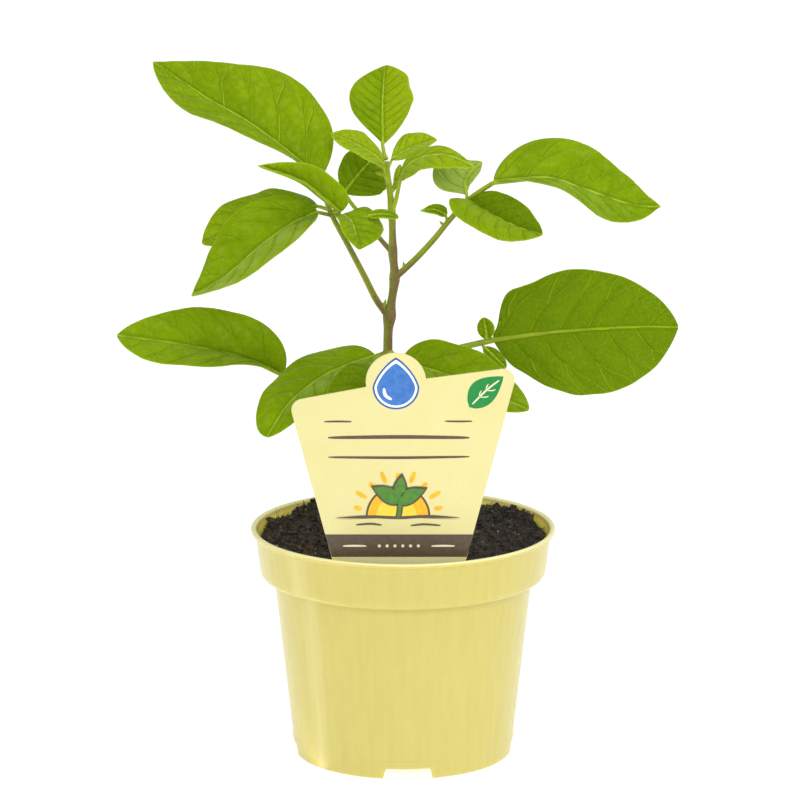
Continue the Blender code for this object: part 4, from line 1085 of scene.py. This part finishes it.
def leaf_skin():
    """A soft yellow-green blade: paler midrib and side veins, a net of small veins, and mottled panels.
    Its colour also carries painted shade in the creases, beside the veins, forks and midrib, painted
    highlights on the panels, a painted sheen seen from the side, and a margin painted paler for the light through it.
    """
    new_finish("pepino_leaf", 0.42)
    place = place_of()
    number, lateral, along = attribute_axes("veins")
    age, grey, sheen = attribute_axes("look")
    edge, net, _ = attribute_axes("panel")
    old = ranged(age, 0.0, -0.8)
    from_vein = sum_of("PINGPONG", number, 0.5)
    tipward = less(sum_of("FRACT", sum_of("ADD", number, 0.5)), 0.5)
    off_midrib = sum_of("ABSOLUTE", lateral)
    side_veins = times(crest(sum_of("DIVIDE", from_vein, ranged(edge, 0.0, 1.0, 0.027, 0.011)), 0.5, 1.5),
                       ranged(edge, 0.1, 0.9, 1.0, 0.1))
    shade_line = times(crest(tipward, 0.005, 0.045, 0.05), ranged(edge, 0.0, 0.5, 0.25, 0.8),
                       ranged(edge, 0.7, 1.0, 1.0, 0.0), ranged(sheen, 0.3, 1.0, 1.0, 0.35))
    fork = ranged(edge, FORK_START, FORK_END, 0.0, FORK_SPREAD, "SMOOTHSTEP")
    from_fork = less(from_vein, fork)
    forked = ranged(fork, 0.01, 0.06)
    midrib = crest(sum_of("DIVIDE", off_midrib, ranged(along, 0.0, 1.0, 0.9, 0.36)), 0.5, 1.1)
    fine_net = add_node("TexVoronoi", {"Vector": place, "Scale": 1 / 1.1}, feature="DISTANCE_TO_EDGE")
    fine_line = crest(fine_net.outputs["Distance"], 0.0, 0.16)
    clouds = noise_of(place, 11.0, 3.0)
    patches = noise_of(place, 3.2, 3.0, 0.6)
    mottle = noise_of(place, 1.0, 4.0, 0.65)
    # Painted highlights: pale patches on the panels between the veins, mostly on light-toned leaves
    shiny = times(ranged(patches, 0.5, 0.66), ranged(from_vein, 0.06, 0.2), ranged(age, -0.6, 0.1, 0.2, 1.0))
    glance = add_node("LayerWeight", {"Blend": 0.4}).outputs["Facing"]
    paled = times(ranged(glance, 0.3, 0.8, 0.0, 0.9), ranged(clouds, 0.4, 0.6, 0.5, 1.0),
                  ranged(from_vein, 0.03, 0.16, 0.25, 1.0), sheen)
    to_margin = times(less(sum_of("DIVIDE", 1.0, edge), 1.0), off_midrib)
    hairs = add_node("TexVoronoi", {"Vector": place, "Scale": 1 / 0.8}).outputs["Distance"]
    tone = layered(
        mixed(ranged(clouds, 0.35, 0.65), (108, 139, 0), (126, 157, 0)),
        # The tone paints age and also painted light and shade: lighter for young and lit leaves, darker for old and
        # shaded ones
        (ranged(age, 0.0, 1.0, 0.0, 0.9), (158, 184, 2)),
        (ranged(age, 0.0, -1.0, 0.0, 0.85), (88, 116, 0)),
        # Painted sheen: grey pales and dulls the blade
        (times(grey, 0.8), (164, 186, 90)),
        (times(shiny, 0.32), (150, 176, 58)),
        (ranged(mottle, 0.45, 0.68, 0.0, 0.3), (138, 166, 8)),
        (ranged(mottle, 0.42, 0.25, 0.0, 0.3), (84, 118, 0)),
        # Painted shade: darker in the creases of the small veins
        (ranged(net, 0.3, 1.0, 0.0, 0.45), (88, 118, 0)),
        (times(fine_line, 0.14), (150, 178, 36)),
        (times(shade_line, 0.65), (84, 114, 0)),
        # Painted shade in the forks of the side veins, with a painted highlight beside each
        (times(crest(from_fork, 0.005, 0.035), forked, 0.55), (88, 118, 0)),
        (times(crest(from_fork, 0.005, 0.025, -0.035), forked, 0.5), (154, 180, 40)),
        (times(side_veins, 0.9), mixed(old, (158, 186, 44), (134, 160, 16))),
        # Painted shade: a dark line on each side of the midrib
        (times(crest(off_midrib, 0.1, 0.6, 1.1), 0.35), (88, 118, 0)),
        (midrib, mixed(old, (172, 198, 58), (150, 175, 18))),
        # Painted sheen where the blade is seen from the side
        (paled, (174, 195, 102)),
        # Painted light: the margin is coloured paler for the light that comes through it
        (ranged(to_margin, 0.45, 0.1, 0.0, 0.6), (172, 200, 30)),
        (times(ranged(hairs, 0.26, 0.16), ranged(age, 0.45, 0.8, 0.0, 0.35)), (214, 226, 150)))
    height = 0.8
    for share, lines in ((-0.7, side_veins), (-0.5, net), (0.4, mottle), (-0.15, fine_line)):
        height = sum_of("MULTIPLY_ADD", lines, share, height)
    return coat(Base_Color=tone, Roughness=ranged(mottle, 0.3, 0.7, 0.42, 0.54), IOR=1.42,
                Specular_IOR_Level=0.05, Normal=bumped(height, 0.4, 0.9))


# Without a seed of its own, noise_vector bends the vein net differently at each run
noise.seed_set(NET_SEED)
leaf_finish = leaf_skin()
hairy_stalks, hairy_margins = [(stem_places[HAIRY_FROM:], stem_radii[HAIRY_FROM:])], []
for leaf_node, blades in LEAVES.items():
    leaf = bmesh.new()
    vectors, numbers = leaf.verts.layers.float_vector, leaf.verts.layers.float
    leaf_layers = SimpleNamespace(veins=vectors.new("veins"), look=vectors.new("look"), panel=vectors.new("panel"),
                                  purple=numbers.new("purple"))
    leaf_stripe = STRIPE_PURPLE if leaf_node in STRIPED else 0.0
    for blade_index, blade_values in enumerate(blades):
        blade_foot = None if blade_index else FOOT_PURPLE.get(leaf_node, 0.0)
        grow_stalk(leaf, blade_values, leaf_layers, blade_foot, leaf_stripe, hairy_stalks)
    for bud in BUDS.get(leaf_node, ()):
        grow_bud(leaf, *bud, leaf_layers)
    for blade_values in blades:
        grow_blade(leaf, blade_values, leaf_layers, hairy_margins)
    leaf_name = leaf_node.replace("leaf_", "foliage_") if "leaf_" in leaf_node else "shoot_tip"
    as_piece(leaf, leaf_name, [leaf_finish, stem_finish], "leaf", leaf_node)


# Hairs: the plant's fine white down, thickest on the stem and the stalks, thin along the margins of
# the leaves. Each hair is a three-sided needle rooted in the skin.
HAIR_LENGTH = (0.35, 0.85)
HAIR_RADIUS = 0.035
STALK_HAIRS = 9.0
MARGIN_HAIRS = 0.45
HAIR_SEED = 11


def hair_finish():
    """Clear white down that lets the light through."""
    new_finish("white_down", 0.5)
    tone = mixed(noise_of(place_of(), 2.0, 1.0), (222, 228, 196), (244, 246, 232))
    return coat(Base_Color=tone, Subsurface_Weight=0.3, Subsurface_Radius=(1, 1, 1), Subsurface_Scale=0.2 * MM)


def rooted(bm, needle, root, way):
    """Adds one needle at a root, standing along a way."""
    length = Matrix.Diagonal((1, 1, hair_dice.uniform(*HAIR_LENGTH), 1))
    hair = needle.copy()
    hair.transform(Matrix.Translation(root) @ way.to_track_quat("Z", "Y").to_matrix().to_4x4() @ length)
    bm.from_mesh(hair)
    bpy.data.meshes.remove(hair)


hair_dice = random.Random(HAIR_SEED)
needle_mesh = bmesh.new()
bmesh.ops.create_cone(needle_mesh, cap_ends=True, segments=3, radius1=HAIR_RADIUS * MM, radius2=0, depth=MM,
                      matrix=Matrix.Translation((0, 0, 0.4 * MM)))
bmesh.ops.remove_doubles(needle_mesh, verts=needle_mesh.verts, dist=0.001 * MM)
needle = as_mesh(needle_mesh, "needle")

down = bmesh.new()
for places, radii in hairy_stalks:
    for near, far, near_radius in zip(places, places[1:], radii):
        along = far - near
        for _ in range(int(along.length / MM * STALK_HAIRS * near_radius + hair_dice.random())):
            way = along.orthogonal().normalized()
            way.rotate(Matrix.Rotation(hair_dice.uniform(0, math.tau), 3, along))
            lean = Vector([hair_dice.uniform(-0.4, 0.4) for _ in range(3)])
            root = near.lerp(far, hair_dice.random()) + way * near_radius * MM
            rooted(down, needle, root, (way + lean).normalized())
for root, way in hairy_margins:
    if hair_dice.random() < MARGIN_HAIRS:
        lean = Vector([hair_dice.uniform(-0.5, 0.5) for _ in range(3)])
        rooted(down, needle, root, (way + lean).normalized())
bpy.data.meshes.remove(needle)
as_piece(down, "white_down", [hair_finish()], "stem").data.shade_flat()


# Plant label: one die-cut plate of printed plastic, pushed into the peat on its own stake behind
# the front rim. Its print is a plain garden design: a drop, a leaf, a rising sun and a seedling.
LABEL_THICKNESS = 0.8
LABEL_CENTRE = -1.7
LABEL_Y = -46.5
LABEL_Z = 90.6
LABEL_LEAN = math.radians(4)
LABEL_RIGHT = (45.6, 76.3)
LABEL_LEFT = (-42.0, 62.6)
LABEL_ROUNDING = 4.5
BUMP_CENTRE = (-1.1, 70.4)
BUMP_RADIUS = 11.5
SLOPE_RISES = (1.0, 0.3)
LABEL_BOTTOM = [(-24.9, -4.0), (-9.5, -7.0), (-4.0, -30.0), (0.0, -33.0), (4.0, -30.0), (9.5, -7.0), (25.1, -4.0)]
INK = 0.05
DROP = (-1.1, 68.4)
SUN = (-0.3, 16.6)
SUN_RADIUS = 11.6


def arc(centre, radius, start, end, count):
    """Points in millimetres along an arc, the angles in degrees."""
    spots = [polar(radius, math.radians(start + (end - start) * k / count)) for k in range(count + 1)]
    return [(centre[0] + u, centre[1] + v) for u, v in spots]


def round_corner(before, corner, after):
    """Points in millimetres that round a corner of the label."""
    corner = Vector(corner)
    to_before = (Vector(before) - corner).normalized()
    to_after = (Vector(after) - corner).normalized()
    half_angle = to_before.angle(to_after) / 2
    centre = corner + (to_before + to_after).normalized() * LABEL_ROUNDING / math.sin(half_angle)
    first = corner + to_before * LABEL_ROUNDING / math.tan(half_angle)
    last = corner + to_after * LABEL_ROUNDING / math.tan(half_angle)
    start = math.atan2(first.y - centre.y, first.x - centre.x)
    sweep = (math.atan2(last.y - centre.y, last.x - centre.x) - start + math.pi) % math.tau - math.pi
    return arc(centre, LABEL_ROUNDING, math.degrees(start), math.degrees(start + sweep), 10)


def label_outline():
    """The die-cut outline in millimetres, anticlockwise from the lower left."""
    slope_right = math.atan2(BUMP_CENTRE[1] - LABEL_RIGHT[1] + SLOPE_RISES[0], BUMP_CENTRE[0] - LABEL_RIGHT[0])
    slope_left = math.atan2(LABEL_LEFT[1] - BUMP_CENTRE[1] + SLOPE_RISES[1], LABEL_LEFT[0] - BUMP_CENTRE[0])
    bump = arc(BUMP_CENTRE, BUMP_RADIUS, math.degrees(slope_right) % 360 - 180, math.degrees(slope_left) % 360, 48)
    right = round_corner(LABEL_BOTTOM[-1], LABEL_RIGHT, bump[0])
    left = round_corner(bump[-1], LABEL_LEFT, LABEL_BOTTOM[0])
    return LABEL_BOTTOM + right + bump + left


def on_label(depth):
    """From the print's own plane, u across and v up, to the plant, a depth in front of the plate's middle."""
    stand = Matrix.Translation(Vector((LABEL_CENTRE, LABEL_Y, LABEL_Z)) * MM) @ Matrix.Rotation(LABEL_LEAN, 4, "X")
    face = Matrix.Translation((0, -depth * MM, 0)) @ Matrix.Rotation(math.pi / 2, 4, "X")
    return stand @ face @ Matrix.Scale(MM, 4)


def raised(bm, points, height):
    """A plate with an outline in the print's plane, drawn out towards the viewer by a height in millimetres."""
    verts = [bm.verts.new((u, v, 0)) for u, v in points]
    for near, far in zip(verts, verts[1:] + verts[:1]):
        bm.edges.new((near, far))
    faces = bmesh.ops.contextual_create(bm, geom=verts)["faces"]
    grown = bmesh.ops.extrude_face_region(bm, geom=faces, use_keep_orig=True)["geom"]
    bmesh.ops.translate(bm, vec=(0, 0, height), verts=[part for part in grown if isinstance(part, bmesh.types.BMVert)])
    bmesh.ops.recalc_face_normals(bm, faces=bm.faces)


def on_plate(bm, name, finish, depth, *nodes):
    """A built plate or print as a finished piece in its place on the label."""
    bm.transform(on_label(depth))
    as_piece(bm, name, [finish], "label", *nodes).data.set_sharp_from_angle(angle=math.radians(30))


def label_board():
    """Pale yellow printed board: warm, lightly flecked like recycled card, under a satin film, and painted paler at
    its foot as light.
    """
    new_finish("printed_label_board", 0.42)
    place = place_of()
    clouds = noise_of(place, 16.0, 2.0)
    specks = add_node("TexVoronoi", {"Vector": place, "Scale": 1 / 2.3, "Randomness": 1.0})
    chance = axes_of(specks.outputs["Color"])[0]
    speck = times(sum_of("LESS_THAN", specks.outputs["Distance"], 0.085), sum_of("GREATER_THAN", chance, 0.62))
    fibre = noise_of(place_of((1, 1, 0.3)), 0.9, 2.0)
    _, back, height = axes_of(place)
    # Painted light: the board's foot, just behind the pot's lip, is coloured paler than the rest
    bare = times(ranged(height, LABEL_Z + 0.5, LABEL_Z + 0.3), ranged(back, LABEL_Y, LABEL_Y - 0.1))
    tone = layered(mixed(ranged(clouds, 0.35, 0.65), (233, 224, 158), (231, 221, 151)),
                   (ranged(fibre, 0.55, 0.75, 0.0, 0.35), (229, 216, 142)), (times(speck, 0.55), (206, 190, 118)),
                   (bare, (255, 250, 190)))
    return coat(Base_Color=tone, Normal=bumped(fibre, 0.01, 0.4))


def ink_finish(name, colour, second, roughness=0.45):
    """Printing ink: one colour that lies a little unevenly."""
    new_finish(name, roughness)
    return coat(Base_Color=mixed(ranged(noise_of(place_of(), 1.8, 3.0), 0.35, 0.65), colour, second))


def stroke(points, width, taper=0.35):
    """The outline of a brush stroke through points, thinner at its ends."""
    path = [place.xy / MM for place in path_at([(u, v, 0) for u, v in points], [k / 24 for k in range(25)])]
    left, right = [], []
    for k, point in enumerate(path):
        way = (path[min(k + 1, 24)] - path[max(k - 1, 0)]).normalized()
        wide = width / 2 * (taper + (1 - taper) * math.sin(math.pi * k / 24) ** 0.35)
        left.append((point.x - way.y * wide, point.y + way.x * wide))
        right.append((point.x + way.y * wide, point.y - way.x * wide))
    return right + left[::-1]


def leaf_outline(foot, tip, width, lean=0.0):
    """The outline of a small drawn leaf from its foot to its tip."""
    way = Vector(tip) - Vector(foot)
    across = Vector((-way.y, way.x)).normalized()
    right, left = [], []
    for share in (k / 16 for k in range(17)):
        wide = width / 2 * math.sin(math.pi * share ** 0.8) ** 0.9
        middle = Vector(foot) + way * share + across * lean * math.sin(math.pi * share)
        right.append(tuple(middle - across * wide))
        left.append(tuple(middle + across * wide))
    return right + left[-2:0:-1]


def drop_outline(radius, tall):
    """The outline of a water drop, round below and pointed above."""
    points = []
    for k in range(48):
        side, up = polar(1, -math.pi / 2 + math.tau * k / 48)
        side *= radius * (1 if up < 0 else (1 - up) ** 0.34)
        points.append((DROP[0] + side, DROP[1] + (radius if up < 0 else tall) * up))
    return points


def ray(number):
    """One of the sun's rays, every second one longer."""
    near, far = SUN_RADIUS + 2.6, SUN_RADIUS + (7.4 if number % 2 else 5.8)
    spots = [polar(reach, math.radians(12 + 19.5 * number)) for reach in (near, (near + far) / 2, far)]
    return stroke([(SUN[0] + u, SUN[1] + v) for u, v in spots], 1.8, 0.4)


board = bmesh.new()
raised(board, label_outline(), LABEL_THICKNESS)
long_rims = [edge for edge in board.edges if abs(edge.verts[0].co.z - edge.verts[1].co.z) < 1e-6]
bmesh.ops.bevel(board, geom=long_rims, offset=0.12, offset_type="OFFSET", segments=2, profile=0.5, affect="EDGES",
                material=-1)
on_plate(board, "plant_label_board", label_board(), -LABEL_THICKNESS / 2, "plant_label")

brown_ink = ink_finish("brown_ink", (86, 71, 56), (95, 80, 63))
cream_ink = ink_finish("cream_ink", (250, 243, 206), (246, 238, 196))
blue_ink = ink_finish("blue_ink", (48, 112, 192), (66, 128, 204), 0.3)
white_ink = ink_finish("white_ink", (253, 253, 250), (249, 249, 246), 0.35)
deep_blue_ink = ink_finish("deep_blue_ink", (30, 84, 160), (38, 94, 172), 0.3)
green_ink = ink_finish("green_ink", (0, 134, 52), (6, 142, 60))
amber_ink = ink_finish("amber_ink", (249, 198, 22), (240, 176, 14))
light_amber_ink = ink_finish("light_amber_ink", (253, 222, 70), (251, 214, 52))
seedling_green = ink_finish("seedling_green_ink", (70, 128, 34), (84, 142, 42))

strip = [(-25.8, 0.2), (26.0, 0.2), (28.8, 9.3), (-28.4, 9.3)]
title_lines = [stroke([(-27, 48.2), (0, 48.5), (27, 48.2)], 1.5), stroke([(-27, 40.4), (0, 40.2), (27, 40.6)], 1.1),
               stroke([(-28.5, 54.6), (-23, 54.7), (-18.0, 54.6)], 0.75),
               stroke([(17.5, 54.8), (23, 54.7), (28, 54.8)], 0.75)]
row = [stroke([(-21.5, 4.6), (-17, 4.7), (-12.5, 4.6)], 0.8), stroke([(12.5, 4.6), (17, 4.7), (21.5, 4.6)], 0.8)]
row += [arc((u, 4.65), 0.62, 0, 345, 15) for u in (-7.5, -4.5, -1.5, 1.5, 4.5, 7.5)]
mark_veins = [stroke([(28.0, 61.6), (33.5, 67.3), (38.2, 71.1)], 0.7, 0.5)]
mark_veins += [stroke([(33.2 + u, 66.7 + u), (33.4 + u, 68.4 + u), (34.1 + u, 69.6 + u)], 0.4, 0.4) for u in (-2.6, 0)]
mark_veins += [stroke([(33.2 + u, 66.6 + u), (35.1 + u, 66.6 + u), (36.4 + u, 67.0 + u)], 0.4, 0.4)
               for u in (-2.2, 0.4)]
soil_line = [stroke([(-24.5, 15.7), (-12, 16.5), (0, 16.1), (11, 16.6), (23.8, 15.8)], 1.2),
             stroke([(-16.5, 13.2), (-11, 13.6), (-6.5, 13.1)], 0.8),
             stroke([(4.5, 12.9), (9.5, 13.4), (16, 13.0)], 0.8)]
seedling_stem = [(-0.2, 16.2), (0.4, 20.3), (-0.1, 25.0)]
seedling_edges = [leaf_outline((-0.6, 21.1), (11.1, 28.3), 6.7, 0.7),
                  leaf_outline((0.4, 21.4), (-10.7, 29.0), 6.9, -0.7),
                  leaf_outline((-0.2, 23.1), (1.2, 34.2), 5.7), stroke(seedling_stem, 2.4, 0.8)]
seedling = [stroke(seedling_stem, 1.2, 0.6), leaf_outline((0.0, 21.6), (10.0, 27.6), 5.3, 0.7),
            leaf_outline((-0.2, 21.9), (-9.6, 28.3), 5.5, -0.7), leaf_outline((-0.1, 24.0), (1.1, 32.8), 4.3)]

# What is printed: each piece's name, its outlines, its ink and how many layers of ink lie under it
PRINT = [("print_brown", [strip] + title_lines, brown_ink, 0), ("print_cream", row, cream_ink, 1),
         ("drop_outline", [drop_outline(8.9, 11.7)], deep_blue_ink, 0),
         ("drop_border", [drop_outline(8.2, 10.8)], white_ink, 1), ("drop", [drop_outline(7.3, 9.4)], blue_ink, 2),
         ("drop_light", [stroke([(-5.7, 68.0), (-5.1, 65.2), (-2.7, 63.4)], 1.3, 0.2)], white_ink, 3),
         ("leaf_mark", [leaf_outline((26.8, 60.4), (39.8, 72.6), 10.4, 0.8)], green_ink, 0),
         ("leaf_veins", mark_veins, cream_ink, 1),
         ("sun_outline", [arc(SUN, SUN_RADIUS + 0.8, 0, 180, 40)], brown_ink, 0),
         ("sun", [arc(SUN, SUN_RADIUS, 0, 180, 40)], amber_ink, 1),
         ("sun_light", [arc((SUN[0] - 0.6, SUN[1]), SUN_RADIUS - 3.8, 0, 180, 32)], light_amber_ink, 2),
         ("sun_rays", [ray(number) for number in range(9)], amber_ink, 0), ("soil_line", soil_line, brown_ink, 3)]
PRINT += [(f"seedling_edge_{k}", [shape], brown_ink, 3 + 2 * (k % 2)) for k, shape in enumerate(seedling_edges)]
PRINT += [(f"seedling_{k}", [shape], seedling_green, 6 + k % 2) for k, shape in enumerate(seedling)]
for print_name, shapes, ink, under in PRINT:
    printed = bmesh.new()
    for shape in shapes:
        raised(printed, shape, INK)
    on_plate(printed, "label_" + print_name, ink, LABEL_THICKNESS / 2 + under * INK)


# Studio: a wide white floor, a white room, a lit sheet on the floor to the left that the pot's wall
# mirrors as an upright gleam, and soft boxes that light the leaves from above and in front.
ROOM_LIGHT = 0.6
FLOOR_SIZE = 30
SHEET_LENGTH = 1.1
SHEET_HEIGHT = 0.0005
SHEET_TURNS = (math.radians(-50.5), math.radians(-44.5))
SHEET_GLOW = 2.4

new_finish("white_floor", 0.9)
floor_paint = coat(Base_Color=mixed(noise_of(place_of(), 400.0, 2.0), (170, 170, 170), (174, 174, 174)),
                   Specular_IOR_Level=0.1, Emission_Color=(1, 1, 1, 1), Emission_Strength=0.8)
floor_mesh = bmesh.new()
bmesh.ops.create_grid(floor_mesh, x_segments=1, y_segments=1, size=FLOOR_SIZE / 2)
floor = as_object(floor_mesh, "floor", floor_paint)

new_finish("lit_sheet", 0.9)
sheet_paint = coat(Base_Color=linear(200, 200, 200), Emission_Color=(1, 1, 1, 1), Emission_Strength=SHEET_GLOW)
sheet_mesh = bmesh.new()
sheet_corners = []
for reach, turns in ((0, SHEET_TURNS), (SHEET_LENGTH, SHEET_TURNS[::-1])):
    for sheet_turn in turns:
        near_corner = Vector((math.sin(sheet_turn), -math.cos(sheet_turn), 0)) * (FOOT_RADIUS + 1) * MM
        away = Vector((math.sin(2 * sheet_turn), -math.cos(2 * sheet_turn), 0))
        sheet_corners.append(sheet_mesh.verts.new(near_corner + away * reach + Vector((0, 0, SHEET_HEIGHT))))
sheet_mesh.faces.new(sheet_corners)
bmesh.ops.recalc_face_normals(sheet_mesh, faces=sheet_mesh.faces)
sheet = as_object(sheet_mesh, "lit_sheet", sheet_paint)

world = bpy.data.worlds.new("white_room")
world.use_nodes = True
world.node_tree.nodes["Background"].inputs["Color"].default_value = (1, 1, 1, 1)
world.node_tree.nodes["Background"].inputs["Strength"].default_value = ROOM_LIGHT
bpy.context.scene.world = world
bpy.context.scene.view_settings.view_transform = "Standard"


def soft_box(name, place, aim_height, size, power):
    """A rectangular soft box that faces the plant at a height."""
    lamp = bpy.data.lights.new(name, "AREA")
    lamp.shape = "RECTANGLE"
    lamp.size, lamp.size_y = size
    lamp.energy = power
    box = bpy.data.objects.new(name, lamp)
    box.location = place
    box.rotation_euler = (Vector((0, 0, aim_height)) - Vector(place)).to_track_quat("-Z", "Y").to_euler()
    bpy.context.scene.collection.objects.link(box)


soft_box("top_box", (0.1, -0.3, 1.9), 0.15, (1.4, 1.2), 8)
soft_box("left_box", (-1.6, -0.1, 1.1), 0.12, (0.75, 1.2), 0.7)
soft_box("right_box", (1.6, -0.1, 1.1), 0.12, (0.9, 1.2), 4)
soft_box("front_box", (0.4, -2.1, 1.3), 0.12, (1.4, 1.0), 18)
